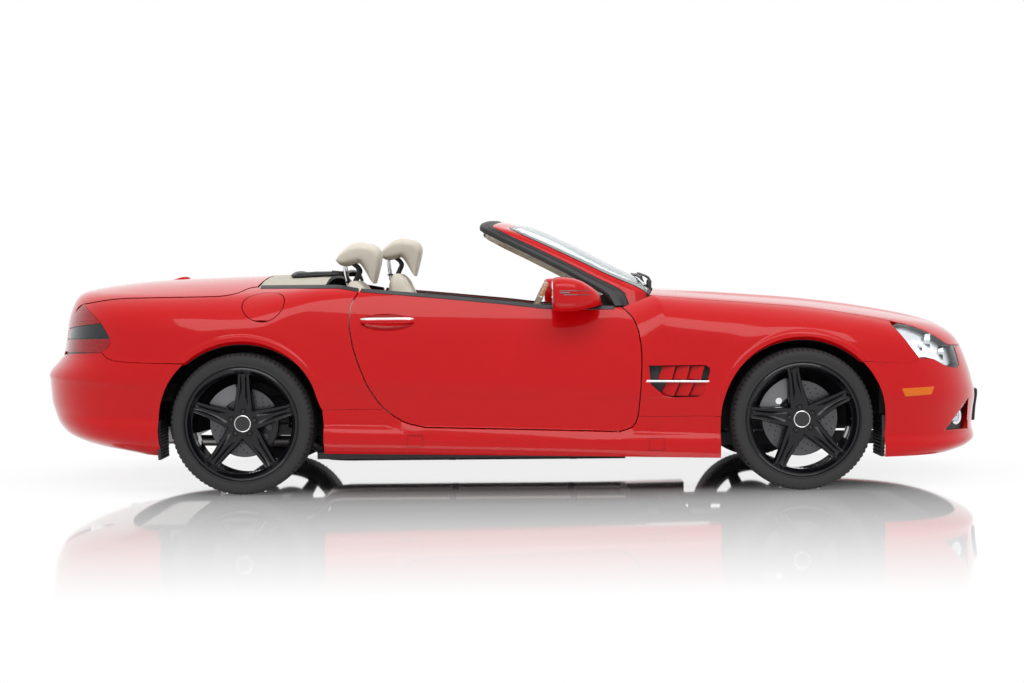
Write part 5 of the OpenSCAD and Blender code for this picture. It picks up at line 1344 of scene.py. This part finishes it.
def crowned(share, power):
    """1 in the middle of a pad, and down to 0 at its edge."""
    return np.clip(1 - np.abs(share) ** power, 0, 1) ** (1 / power)


def pad(name, mid, reach_out, half_w, at, fill, bolster=0.0, bolster_at=0.62, channels=(), seams=(),
        wrap=(),
        powers=(5, 6), count=(65, 57)):
    """A stuffed leather pad. mid is its middle line and reach_out half its thickness as a vector,
    both [x, z] at each share of its length. Seams run along it, channels across its middle, and
    wraps right round it."""
    u = np.sin(np.pi / 2 * np.linspace(-1, 1, count[0]))
    v = (1 - np.cos(np.pi * np.linspace(0, 1, count[1]))) / 2
    thick = crowned(u[None, :], powers[0]) * crowned(2 * v[:, None] - 1, powers[1])
    side_on = np.abs(u)[None, :] + 0 * v[:, None]
    along = v[:, None] + 0 * u[None, :]
    size = np.linalg.norm(reach_out, axis=1)[:, None]
    out = reach_out / size
    front = size * thick * (1.0 - 0.10 * side_on ** 2)
    rear = size * thick
    if bolster:
        rise = np.clip((side_on - bolster_at + 0.08) / 0.2, 0, 1)
        front += bolster * rise ** 2 * (3 - 2 * rise) * thick * crowned(2 * along - 1, 3)
    for s in seams:
        front -= 6 * np.exp(-((side_on - s) * half_w[:, None] / 5) ** 2) * thick
    length = np.linalg.norm(np.diff(mid, axis=0), axis=1).sum()
    for c in channels:
        across = np.exp(-((along - c) * length / 6) ** 2)
        front -= 5 * across * (side_on < bolster_at) * thick
    for c in wrap:
        across = 3.5 * np.exp(-((along - c) * length / 4.5) ** 2) * thick ** 0.3
        front -= across
        rear -= across
    y = at[1] + half_w[:, None] * u[None, :]
    grids = []
    for amount, way in ((front, 1), (rear, -1)):
        p = mid[:, None, :] + way * amount[..., None] * out[:, None, :]
        grids.append(np.stack([at[0] + p[..., 0], y, at[2] + p[..., 1]], axis=-1))
    m, n = y.shape
    faces = [[i * n + j, i * n + j + 1, (i + 1) * n + j + 1,
              (i + 1) * n + j] for i in range(m - 1) for j in range(n - 1)]
    faces += [[k + m * n for k in reversed(f)] for f in faces]
    obj = make(name, np.concatenate([g.reshape(-1, 3) for g in grids]), faces, [cream_leather], angle=60)
    only(obj)
    bpy.ops.object.mode_set(mode="EDIT")
    bpy.ops.mesh.select_all(action="SELECT")
    bpy.ops.mesh.remove_doubles(threshold=0.0004)
    bpy.ops.mesh.dissolve_degenerate(threshold=0.0001)
    bpy.ops.mesh.normals_make_consistent(inside=False)
    bpy.ops.object.mode_set(mode="OBJECT")
    bpy.ops.object.shade_smooth_by_angle(angle=math.radians(60))
    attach(obj, "root")
    return obj


def spine_pad(name, table, at, fill, facing, **more):
    """A pad along a table of [x, z, half thickness, half width]."""
    shares = (1 - np.cos(np.pi * np.linspace(0, 1, 57))) / 2
    t = table_along(table, shares)
    run = np.gradient(t[:, :2], axis=0)
    run /= np.linalg.norm(run, axis=1)[:, None]
    out = facing * np.column_stack([-run[:, 1], run[:, 0]])
    return pad(name, t[:, :2], out * t[:, 2:3], t[:, 3], at, fill, **more)


for side, way in SIDES.items():
    x, z = SEATS[side]
    at = (x, way * SEAT_Y, z)
    back = spine_pad(f"seat_back_{side}", BACK, at, 0.85, 1, bolster=26, seams=(0.62, 0.9),
                     channels=(0.2, 0.31, 0.42, 0.53, 0.64, 0.75), wrap=(0.1,))
    spine_pad(f"seat_cushion_{side}", CUSHION, at, 0.85, 1, bolster=20, seams=(0.62, 0.92),
              channels=(0.22, 0.36, 0.5, 0.64, 0.78), wrap=(0.9,))
    shares = (1 - np.cos(np.pi * np.linspace(0, 1, 57))) / 2
    outer, inner = table_along(HEAD_OUTER, shares), table_along(HEAD_INNER, shares)
    width = 122 - 14 * np.clip(shares - 0.45, 0, 1)
    rest = pad(f"headrest_{side}", (outer + inner) / 2, (outer - inner) / 2 + 0.001, width, at, 0.95,
               seams=(0.66,), wrap=(0.44,), powers=(4, 8))
    posts = []
    for y in (-62, 62):
        leg = np.array([[-62, y, 84], [-58, y, 50], [-52, y, 10], [-46, y, -34]], float) + at
        posts.append(rod("post", smooth(leg, 12), 5.5, [chrome], 14))
        posts.append(rod("collar", np.array([[-51, y, -1], [-50.4, y, -5], [-49.8, y, -9]], float) + at,
                         [11, 11, 9],
                         [black_trim], 18))
        brace = np.array([[-22, y * 0.75, 86], [2, y * 0.75, 66], [10, y * 0.75, 48], [0, y * 0.75, 22],
                          [-14, y * 0.75, -8]], float) + at
        posts.append(rod("brace", smooth(brace, 18), 6.5, [black_trim], 10, flat=1.5))
    posts = merge(f"headrest_posts_{side}", posts)
    frame_parts = []
    low = z - 700 + 24
    for y in (-168, 168):
        frame_parts.append(rod("runner", [(x + 170, at[1] + y, 196), (x + 420, at[1] + y, 196),
                                          (x + 660, at[1] + y, 196)],
                               14, [black_trim], 12))
        for dx in (240, 600):
            frame_parts.append(rod("leg", [(x + dx, at[1] + y, 190), (x + dx, at[1] + y, (low + 190) / 2),
                                           (x + dx, at[1] + y, low)], [16, 13, 16], [black_trim], 12))
    tray = prism("tray", [(x + 196, low - 8), (x + 640, low - 8), (x + 650, low + 14), (x + 190, low + 14)],
                 SEAT_Y - 190, SEAT_Y + 190, way)
    tray.data.materials.append(black_trim)
    valance = merge(f"seat_frame_{side}", frame_parts + [tray])
    for o in (posts, valance):
        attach(o, "root")
    if way > 0:
        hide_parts("seats")
        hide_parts("headrests")

# ---------------------------------------------------------------------------------------------
# Steering wheel. A steel ring covered in stitched leather with wooden grips at top and bottom, on
# four slim spokes round a padded boss. It turns on the column.
# ---------------------------------------------------------------------------------------------
WHEEL_AT, COLUMN_WAY = (111, 370, 796), Vector((-0.91355, 0, 0.40674))
RING_R, TUBE_R = 172.5, 15
wood = finish("burr_wood", (0.45, 0.155, 0.035), 0.22, coat=1.0, mottle=0.55, grain=38)
grip_leather = finish("grip_leather", (0.30, 0.20, 0.12), 0.5, mottle=0.12, grain=500, bump=0.3)
black_leather = finish("black_leather", (0.022, 0.021, 0.021), 0.55, mottle=0.15, grain=420, bump=0.35)


def ring_arc(name, start, end, radius, m):
    a = np.radians(np.linspace(start, end, 2 + int(abs(end - start) / 4)))
    points = np.column_stack([RING_R * np.cos(a), 0 * a, RING_R * np.sin(a)])
    return rod(name, points, radius, [m], 20)


parts = [ring_arc("wood_top", 32, 148, TUBE_R - 0.4, wood),
         ring_arc("wood_low", 238, 302, TUBE_R - 0.4, wood),
         ring_arc("grip_left", 148, 238, TUBE_R - 1, grip_leather),
         ring_arc("grip_right", -58, 32, TUBE_R - 1, grip_leather)]
for a in (32, 148, 238, 302):
    parts.append(ring_arc("ferrule", a - 0.8, a + 0.8, TUBE_R + 0.3, chrome))
for a in (0, 180, 245, 295):
    r = np.linspace(52, RING_R - 8, 9)
    half = np.interp(r, [52, 90, 140, 164], [24, 17, 14, 20])
    rings = [[(rr, -8 + 9 * math.sin(t), h * math.cos(t)) for t in np.linspace(0, 2 * np.pi, 18,
                                                                               endpoint=False)]
             for rr, h in zip(r, half)]
    o = loft("spoke", rings, [black_leather if a in (0, 180) else lamp_case])
    o.data.transform(Matrix.Rotation(math.radians(-a), 4, "Y"))
    parts.append(o)
parts.append(lathe("boss", [[0, 20], [22, 19], [46, 14], [64, 4], [74, -10], [76, -24], [66, -40],
                            [40, -47], [12, -48],
                            [12, -84], [0, -84]], [black_leather], 72, 40))
parts.append(lathe("boss_seam", [[59, 8.4], [61, 7.4], [60, 5.5], [58, 6.4], [59, 8.4]], [chrome], 72))
steering_wheel = aim(merge("steering_wheel_dressed", parts), WHEEL_AT, COLUMN_WAY)
dress(steering_wheel, ["steering_wheel"], "steering_wheel")

# ---------------------------------------------------------------------------------------------
# Dashboard. A black grained moulding with a hooded pair of round gauges, a wooden strip, round air
# vents, a blank screen and rows of blank keys; stalks stand on the column. Screwed to the bulkhead.
# ---------------------------------------------------------------------------------------------
dash_black = finish("dash_black", (0.028, 0.027, 0.027), 0.6, mottle=0.12, grain=380, bump=0.35)
dial_face = finish("dial_face", (0.80, 0.80, 0.78), 0.4, mottle=0.03, grain=120)
dial_dark = finish("dial_dark", (0.015, 0.015, 0.017), 0.35, mottle=0.1, grain=90)
needle_red = finish("needle_red", (0.75, 0.08, 0.02), 0.4, mottle=0.05, grain=60)
DASH_X = 611.7
for node, m in (("dashboard", dash_black), ("centre_console", dash_black)):
    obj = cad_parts[node]
    obj.data.materials.clear()
    obj.data.materials.append(m)

dials = []
for y in (300, 440):
    place, out = (DASH_X - 283, y, 806), Vector((-1, 0, 0.25)).normalized()
    rim = lathe("dial_rim", [[58, 0], [58, 16], [55, 18], [52, 14], [52, 0], [58, 0]], [chrome], 64)
    face = lathe("dial_face", [[0, 6], [52, 6], [52, 2], [0, 2]], [dial_face], 64)
    dials += [aim(rim, place, out), aim(face, place, out)]
    for k in range(25):
        a = math.radians(-130 + 260 * k / 24)
        long = 10 if k % 4 == 0 else 6
        tick = make("tick", [(s * 0.9, 6.4, r) for r in (49 - long, 49) for s in (-1, 1)], [[0, 1, 3, 2]],
                    [dial_dark])
        tick.data.transform(Matrix.Rotation(a, 4, "Y"))
        dials.append(aim(tick, place, out))
    hand = make("hand", [(-2.2, 8, -10), (2.2, 8, -10), (0.7, 8, 44), (-0.7, 8, 44)], [[0, 1, 2, 3]],
                [needle_red])
    hand.data.transform(Matrix.Rotation(math.radians(-130), 4, "Y"))
    dials.append(aim(hand, place, out))
    dials.append(aim(lathe("hand_hub", [[0, 10], [7, 10], [8, 6], [0, 6]], [dial_dark], 24), place, out))
gauges = merge("gauges", dials)
t = np.linspace(0, np.pi, 33)
hood_rings = []
for x, w, h, low in ((296, 164, 104, 806), (330, 172, 116, 800), (420, 168, 112, 800), (500, 120, 92, 812)):
    outer = [(x, 370 + w * math.cos(a), low + h * math.sin(a) ** 0.8) for a in t]
    inner = [(x, 370 + (w - 10) * math.cos(a), low - 2 + (h - 9) * math.sin(a) ** 0.8) for a in t[::-1]]
    hood_rings.append(outer + inner)
gauge_hood = loft("gauge_hood", hood_rings, [black_leather], angle=50)
strip = []
for y0, y1 in ((-640, -130), (130, 190), (548, 640)):
    strip.append(block("wood_strip", [(DASH_X - 286, 772), (DASH_X - 280, 830), (DASH_X - 274, 830),
                                      (DASH_X - 274, 772)], y0, y1, wood, 3))
wood_strip = merge("wood_strip", strip)
vents = []
for y in (-590, -62, 62, 590):
    place, out = (DASH_X - 272, y, 862 if abs(y) < 100 else 866), Vector((-1, 0, 0.12)).normalized()
    vents.append(aim(lathe("vent_ring", [[40, -6], [40, 8], [36, 12], [32, 8], [31, -6], [40, -6]],
                           [chrome], 48), place, out))
    vents.append(aim(lathe("vent_well", [[0, -3], [32, -3], [32, -6], [0, -6]], [dial_dark], 32), place,
                     out))
    for k in (-18, -6, 6, 18):
        half = math.sqrt(31 ** 2 - k ** 2)
        vents.append(aim(rod("vent_blade", [(-half, 3, k), (0, 3, k), (half, 3, k)], 2.2, [dash_black], 8),
                         place, out))
air_vents = merge("air_vents", vents)
stack = [block("screen",
               [(DASH_X - 286, 712), (DASH_X - 284, 800), (DASH_X - 274, 800), (DASH_X - 274, 712)],
               -92, 92, dial_dark, 3)]
for row in range(2):
    for k in range(7):
        y, z0 = -78 + 26 * k, 688 - 26 * row
        x = DASH_X - 262 + (700 - z0) * 0.72
        stack.append(block("key", [(x - 9, z0 - 9), (x - 13, z0 + 9), (x, z0 + 9), (x, z0 - 9)], y - 11,
                           y + 11,
                           black_trim, 2))
for y in (-118, 118):
    stack.append(aim(lathe("knob", [[0, 20], [15, 19], [17, 16], [18, 0], [20, -8], [0, -8]], [lamp_case],
                           36),
                     (DASH_X - 280, y, 742), (-1, 0, 0.02)))
centre_stack = merge("centre_stack", stack)
stalks = merge("column_stalks", [
    rod("stalk", smooth(np.array([[196, 370 + s * 30, 752], [186, 370 + s * 90, 768],
                                  [172, 370 + s * 150, 786]], float), 10),
        np.linspace(6, 8.5, 11), [black_trim], 12) for s in (-1, 1)])
for o in (gauges, gauge_hood, wood_strip, air_vents, centre_stack, stalks):
    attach(o, "root")

# ---------------------------------------------------------------------------------------------
# Centre console. A black moulding over the tunnel with a wooden plate, a selector lever in its gate,
# two chromed lids and a stitched leather armrest.
# ---------------------------------------------------------------------------------------------
CONSOLE_Z = 300.3
LID_LINE = [[330, 330], [200, 300], [-120, 220]]
plate_outline = [(x, z + CONSOLE_Z + 1) for x, z in LID_LINE] + [(x, z + CONSOLE_Z + 7) for x,
                                                                 z in LID_LINE[::-1]]
plate = block("console_plate", plate_outline, -84, 84, wood, 2)
gate_x, gate_z = 60, CONSOLE_Z + 272
lever = merge("selector_lever", [
    lathe("gaiter", [[34, 0], [30, 6], [20, 20], [12, 34], [9, 40], [0, 40], [0, 0]], [black_leather], 40),
    lathe("shaft", [[6, 36], [6, 78], [0, 78]], [chrome], 20),
    lathe("knob", [[0, 128], [12, 126], [20, 116], [23, 102], [20, 88], [12, 76], [0, 74]], [black_leather],
          40)])
aim(lever, (gate_x, 0, gate_z), (-0.16, 0, 1))
lids = merge("console_lids", [
    rod("lid_edge", [(x, -62, CONSOLE_Z + 9 + h), (x, 0, CONSOLE_Z + 9 + h), (x, 62, CONSOLE_Z + 9 + h)], 3,
        [chrome], 10)
    for x, h in ((-40, 240), (-20, 245), (170, 292.5), (190, 297.5))])
ARMREST = [[-306, 262, 14, 84], [-330, 268, 22, 92], [-480, 272, 24, 94], [-640, 276, 22, 92],
           [-668, 274, 14, 86]]
spine_pad("centre_armrest", ARMREST, (0, 0, CONSOLE_Z), 0.9, -1, seams=(0.8,), wrap=(0.5,))
for o in (plate, lever, lids):
    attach(o, "root")

# ---------------------------------------------------------------------------------------------
# Door trims. On each door's inner face, a leather armrest with a chromed pull, a pocket, a round
# speaker grille and blank window keys, clipped on.
# ---------------------------------------------------------------------------------------------
DOOR_IN_Y = 745
for side, way in SIDES.items():
    xs = np.linspace(-520, 420, 41)
    swell = np.clip(np.minimum(xs + 520, 420 - xs) / 90, 0, 1) ** 0.5
    rings = [[(x, DOOR_IN_Y - 24 * s * (1 + math.cos(a)), 650 + 12 * (x + 520) / 940 + 26 * s * math.sin(a))
              for a in np.linspace(0, 2 * np.pi, 24, endpoint=False)] for x,
              s in zip(xs, np.maximum(swell, 0.15))]
    rest = mirror_for(loft(f"door_armrest_{side}", rings, [cream_leather], angle=60), way)
    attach(rest, f"door_{side}")
    pull = smooth(np.array([[60, 742, 700], [90, 716, 716], [190, 706, 730], [290, 712, 742],
                            [330, 742, 748]], float), 24)
    handle = rod("pull", pull, 7, [chrome], 14)
    pocket = block("pocket", [(-430, 360), (150, 360), (210, 400), (210, 470), (-430, 470)], 722, 746,
                   black_leather, 10, 3)
    speaker = lathe("speaker", [[0, 5], [66, 5], [70, 9], [76, 9], [78, 0], [0, 0]], [dash_black], 64)
    aim(speaker, (360, 745, 440), (0, -1, 0))
    keys = []
    for k in range(3):
        key = prism("key", [(236 + 34 * k, 674), (262 + 34 * k, 675), (262 + 34 * k, 684),
                            (236 + 34 * k, 683)], 702, 728, 1)
        key.data.materials.append(black_trim)
        keys.append(key)
    trim = mirror_for(merge(f"door_trim_{side}", [handle, pocket, speaker] + keys), way)
    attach(trim, f"door_{side}")

# ---------------------------------------------------------------------------------------------
# Wind deflector. A black tube frame with fine netting, folded flat on the deck behind the seats and
# held by two arms at its front.
# ---------------------------------------------------------------------------------------------
net = finish("deflector_net", (0.02, 0.02, 0.022), 0.7, mottle=0.6, grain=900, bump=0.6)
DEFLECTOR_X, DEFLECTOR_HALF_W, DEFLECTOR_CORNER = (-1062, -800), 430, 60


def over_deck(x, y, lift):
    """A point this far above the crown of the deck."""
    return (x, y, float(look(LENGTHWISE, x, 2) - look(LENGTHWISE, x,
                                                      3) * (abs(y) / CROWN_W) ** CROWN_POWER) + lift)


corners = [(DEFLECTOR_X[i], j * DEFLECTOR_HALF_W) for i, j in ((0, -1), (0, 1), (1, 1), (1, -1))]
outline = []
for k in range(4):
    here, before, after = (np.array(corners[i % 4], float) for i in (k, k - 1, k + 1))
    a = here + (before - here) / np.linalg.norm(before - here) * DEFLECTOR_CORNER
    b = here + (after - here) / np.linalg.norm(after - here) * DEFLECTOR_CORNER
    outline += [(1 - t) ** 2 * a + 2 * t * (1 - t) * here + t ** 2 * b for t in np.linspace(0, 1, 9)]
outline = even(np.array(outline + outline[:1]), 96)
tube = rod("deflector_frame", [over_deck(x, y, 9) for x, y in outline], 7, [black_trim], 14)
rows = [[over_deck(x, y, 10) for x in np.linspace(DEFLECTOR_X[0] + 3, DEFLECTOR_X[1] - 3, 13)]
        for y in np.linspace(-DEFLECTOR_HALF_W + 3, DEFLECTOR_HALF_W - 3, 41)]
web = between("deflector_net", np.array(rows), np.array(rows) - [0, 0, 2], [net], bevel=0)
parts = [tube, web]
for y in (-380, 380):
    arm = np.array([over_deck(-870, y, 14), over_deck(-830, y, 10), over_deck(-800, y, -4),
                    over_deck(-790, y, -30)])
    parts.append(rod("arm", smooth(arm, 14), np.linspace(11, 8, 15), [black_trim], 12))
    parts.append(rod("bar", [over_deck(x, y, 15) for x in (-1040, -950, -860)], [5, 9, 6], [black_gloss],
                     12, flat=0.8))
deflector = merge("wind_deflector", parts)
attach(deflector, "root")

# ---------------------------------------------------------------------------------------------
# Wheel housings. The inner walls of the four arches, black pressed steel, welded to the body. They
# close the housings above the axles.
# ---------------------------------------------------------------------------------------------
housing_black = finish("housing_black", (0.012, 0.012, 0.013), 0.85, mottle=0.25, grain=300, bump=0.3)
for end, centre, y_in in (("front", FRONT_ARCH, 476), ("rear", REAR_ARCH, 573)):
    for side, way in SIDES.items():
        a = np.radians(np.linspace(-14, 194, 53))
        outer = np.column_stack([centre[0] + 391 * np.cos(a), 0 * a + way * y_in,
                                 centre[1] + 391 * np.sin(a)])
        inner = np.column_stack([centre[0] + 176 * np.cos(a), 0 * a + way * y_in,
                                 centre[1] + 176 * np.sin(a)])
        n = len(a)
        wall = make(f"housing_{end}_{side}", np.vstack([outer, inner]),
                    [[i, i + 1, i + 1 + n, i + n] for i in range(n - 1)], [housing_black])
        modify(wall, "SOLIDIFY", thickness=0.002, offset=0)
        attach(wall, "root")


# ---------------------------------------------------------------------------------------------
# What stays as the CAD made it: floor, bulkheads, liners, deck, running gear and exhaust, each in the
# finish of its real metal or plastic.
# ---------------------------------------------------------------------------------------------
underbody = finish("underbody", (0.035, 0.036, 0.038), 0.7, mottle=0.25, grain=200, bump=0.3)
steel = finish("bare_steel", (0.42, 0.41, 0.40), 0.38, metallic=0.95, mottle=0.12, grain=160, bump=0.1)
cast_metal = finish("cast_metal", (0.20, 0.20, 0.21), 0.5, metallic=0.7, mottle=0.15, grain=260, bump=0.3)
deck_cover = finish("deck_cover", (0.50, 0.46, 0.38), 0.6, mottle=0.04, grain=500, bump=0.2)
fleece = finish("liner_fleece", (0.016, 0.016, 0.017), 0.9, mottle=0.3, grain=700, bump=0.5)
LEFT_AS_MADE = {
    "floor_pan": underbody, "bulkheads": inner_lining, "wheel_arch_liners": fleece, "rear_deck": deck_cover,
    "cowl": plastic, "steering_column": black_trim, "engine": cast_metal, "radiator": plastic,
    "front_subframe": underbody, "rear_subframe": cast_metal, "knuckle_left": cast_metal,
    "knuckle_right": cast_metal, "drive_shafts": steel,
}
for name, m in LEFT_AS_MADE.items():
    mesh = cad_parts[name].data
    mesh.materials.clear()
    mesh.materials.append(m)
    if name == "rear_deck":     # its textile lies on top, and its sides are black
        mesh.materials.append(black_trim)
        for face in mesh.polygons:
            face.material_index = 0 if face.normal.z > 0.5 and face.center.z > 0.9 else 1

# Exhaust. Two steel pipes under the floor run through one flat silencer to a polished tail pipe
# on each side.
PIPE_Z, PIPE_Y = 109, 200
exhaust_parts = []
for way in (1, -1):
    route = smooth(np.array([[558, way * PIPE_Y, PIPE_Z], [0, way * PIPE_Y, PIPE_Z],
                             [-780, way * PIPE_Y, PIPE_Z],
                             [-900, way * 210, PIPE_Z + 6], [-1010, way * 300, 190],
                             [-1200, way * 300, 194],
                             [-1575, way * 300, 200]], float), 60)
    exhaust_parts.append(rod("pipe", route, 27, [steel], 24))
    for x in (-1040, -1240, 300, -300):
        y, z = (300, 193) if x < -1000 else (PIPE_Y, PIPE_Z)
        exhaust_parts.append(rod("clamp", [(x - 16, way * y, z), (x, way * y, z), (x + 16, way * y, z)], 28,
                                 [cast_metal], 24))
    exhaust_parts.append(rod("hanger",
                             [(-1700, way * 300, 292), (-1700, way * 300, 330), (-1700, way * 300, 372)], 7,
                             [black_trim], 12))
    link = smooth(np.array([[-1800, way * 430, 240], [-1860, way * 430, 240], [-1935, way * 430, 240]],
                           float), 10)
    exhaust_parts.append(rod("neck", link, np.linspace(30, 36, 11), [steel], 28))
    tip = lathe("tip",
                [[36, 0], [39, 4], [39, 108], [37.5, 111], [35.5, 108], [35.5, 6], [0, 6], [0, 2], [36, 0]],
                [chrome], 48)
    exhaust_parts.append(aim(tip, (-1930, way * 430, 240), (-1, 0, 0)))
body_rings = []
for y in np.linspace(-478, 478, 33):
    s = (1 - abs(y / 478) ** 8) ** 0.125 * 0.25 + 0.75
    body_rings.append([(-1695 + 134 * s * np.sign(math.cos(a)) * abs(math.cos(a)) ** 0.5, y,
                        247 + 51 * s * np.sign(math.sin(a)) * abs(math.sin(a)) ** 0.5)
                       for a in np.linspace(0, 2 * np.pi, 40, endpoint=False)])
exhaust_parts.append(loft("silencer", body_rings, [steel], angle=50))
exhaust = merge("exhaust_run", exhaust_parts)
dress(exhaust, ["exhaust"], "root")

# Splash guards. Ribbed black plastic flaps behind the bumpers' edges, screwed to the arch liners.
for side, way in SIDES.items():
    for end, x, z0, z1, lean in (("front", 1686, 150, 340, 0), ("rear", -1612, 162, 340, 0)):
        rows = np.linspace(0, 1, 25)
        ribs = 3.0 * (np.arange(25) % 2)
        ys = np.linspace(690, 872, 14)
        near = np.array([[(x - lean * (1 - v) ** 2 + r, way * (y - 12 * (1 - v) ** 2),
                           z0 + (z1 - z0) * v) for y in ys]
                         for v, r in zip(rows, ribs)])
        guard = between(f"splash_guard_{end}_{side}", near, near + [14 if end == "front" else -14, 0, 0],
                        [black_trim],
                        bevel=0)
        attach(outwards(guard), "root")

# ---------------------------------------------------------------------------------------------
# Floor, light and camera. A polished pale floor that runs out into a white background, a soft sky,
# wide lamps, and a camera level with the doors.
# ---------------------------------------------------------------------------------------------
def joined(nodes, links, a, b, operation):
    both = nodes.new("ShaderNodeMath")
    both.operation = operation
    links.new(a, both.inputs[0])
    links.new(b, both.inputs[1])
    return both.outputs[0]


def seen_ray(nodes, links):
    """1 for rays from the camera, and for those that metal, paint and glass send on."""
    path = nodes.new("ShaderNodeLightPath")
    first = joined(nodes, links, path.outputs["Is Camera Ray"], path.outputs["Is Glossy Ray"], "MAXIMUM")
    return joined(nodes, links, first, path.outputs["Is Transmission Ray"], "MAXIMUM")


def stage_floor():
    bpy.ops.mesh.primitive_plane_add(size=120, location=(0, 0, 0))
    floor = bpy.context.active_object
    floor.name = "floor"
    m = bpy.data.materials.new("pale_floor")
    m.use_nodes = True
    nodes, links = m.node_tree.nodes, m.node_tree.links
    nodes.remove(nodes["Principled BSDF"])
    matt = nodes.new("ShaderNodeBsdfDiffuse")
    matt.inputs["Color"].default_value = (0.72, 0.72, 0.72, 1)
    glow = nodes.new("ShaderNodeEmission")
    glow.inputs["Color"].default_value = (1, 1, 1, 1)
    polish = nodes.new("ShaderNodeBsdfAnisotropic")
    polish.inputs["Roughness"].default_value = 0.04
    polish.inputs["Color"].default_value = (1, 1, 1, 1)
    # Away from the car the floor runs out into the white of the background.
    where = nodes.new("ShaderNodeTexCoord")
    spread = nodes.new("ShaderNodeMapping")
    spread.inputs["Scale"].default_value = (1 / 2.7, 1 / 1.25, 1)
    ball = nodes.new("ShaderNodeVectorMath")
    ball.operation = "LENGTH"
    ramp = nodes.new("ShaderNodeMapRange")
    ramp.inputs["From Min"].default_value = 0.6
    ramp.inputs["From Max"].default_value = 1.1
    ramp.interpolation_type = "SMOOTHSTEP"
    links.new(where.outputs["Object"], spread.inputs["Vector"])
    links.new(spread.outputs["Vector"], ball.inputs[0])
    links.new(ball.outputs["Value"], ramp.inputs["Value"])
    under = nodes.new("ShaderNodeMixShader")
    links.new(joined(nodes, links, ramp.outputs["Result"], seen_ray(nodes, links), "MULTIPLY"),
              under.inputs["Fac"])
    links.new(matt.outputs["BSDF"], under.inputs[1])
    links.new(glow.outputs["Emission"], under.inputs[2])
    # Its polish is strongest under the car and fades out beside it.
    apart = nodes.new("ShaderNodeSeparateXYZ")
    links.new(where.outputs["Object"], apart.inputs["Vector"])
    beside = nodes.new("ShaderNodeMath")
    beside.operation = "ABSOLUTE"
    links.new(apart.outputs["Y"], beside.inputs[0])
    fading = nodes.new("ShaderNodeMapRange")
    for key, value in (("From Min", 0.45), ("From Max", 3.4), ("To Min", 0.85), ("To Max", 0.0)):
        fading.inputs[key].default_value = value
    links.new(beside.outputs[0], fading.inputs["Value"])
    top = nodes.new("ShaderNodeMixShader")
    links.new(fading.outputs["Result"], top.inputs["Fac"])
    links.new(under.outputs["Shader"], top.inputs[1])
    links.new(polish.outputs["BSDF"], top.inputs[2])
    links.new(top.outputs["Shader"], nodes["Material Output"].inputs["Surface"])
    floor.data.materials.append(m)
    return floor


stage_floor()

world = bpy.context.scene.world or bpy.data.worlds.new("studio")
bpy.context.scene.world = world
world.use_nodes = True
wn, wl = world.node_tree.nodes, world.node_tree.links
sky = wn["Background"]
sky.inputs["Color"].default_value = (0.80, 0.82, 0.85, 1)
sky.inputs["Strength"].default_value = 0.42
white = wn.new("ShaderNodeBackground")
white.inputs["Color"].default_value = (1, 1, 1, 1)
white.inputs["Strength"].default_value = 1.0
mix = wn.new("ShaderNodeMixShader")
wl.new(seen_ray(wn, wl), mix.inputs["Fac"])
wl.new(sky.outputs["Background"], mix.inputs[1])
wl.new(white.outputs["Background"], mix.inputs[2])
wl.new(mix.outputs["Shader"], wn["World Output"].inputs["Surface"])

LAMPS = [   # name, place, aims at, width, height, power
    ("key", (0.5, -5.5, 6.5), (0, 0, 0.4), 8.5, 3.4, 330),
    ("top", (0, 0.5, 6.5), (0, 0, 0.6), 7.0, 3.0, 150),
    ("back", (-1.0, 6.5, 4.5), (0, 0, 0.6), 7.0, 2.5, 150),
    ("nose", (7.0, -1.5, 3.0), (0.6, 0, 0.6), 3.0, 2.5, 70),
    ("tail", (-7.0, -1.5, 3.0), (-0.6, 0, 0.6), 3.0, 2.5, 70),
]
for name, place, aim_at, width, height, power in LAMPS:
    data = bpy.data.lights.new(name, "AREA")
    data.shape, data.size, data.size_y, data.energy = "RECTANGLE", width, height, power
    lamp = bpy.data.objects.new(name, data)
    lamp.location = place
    lamp.rotation_euler = (Vector(aim_at) - Vector(place)).to_track_quat("-Z", "Y").to_euler()
    lamp.visible_glossy = name == "key"
    bpy.context.scene.collection.objects.link(lamp)

lens = bpy.data.cameras.new("camera")
lens.lens, lens.sensor_width = 58.83, 36
CAMERA_AT, CAMERA_PITCH, CAMERA_ROLL = (0, -8.5, 0.958), 88.0, -0.5
camera = bpy.data.objects.new("camera", lens)
camera.matrix_world = (Matrix.Translation(CAMERA_AT) @ Matrix.Rotation(math.radians(CAMERA_PITCH), 4, "X")
                       @ Matrix.Rotation(math.radians(CAMERA_ROLL), 4, "Z"))
bpy.context.scene.collection.objects.link(camera)
bpy.context.scene.camera = camera
bpy.context.scene.view_settings.view_transform = "Standard"
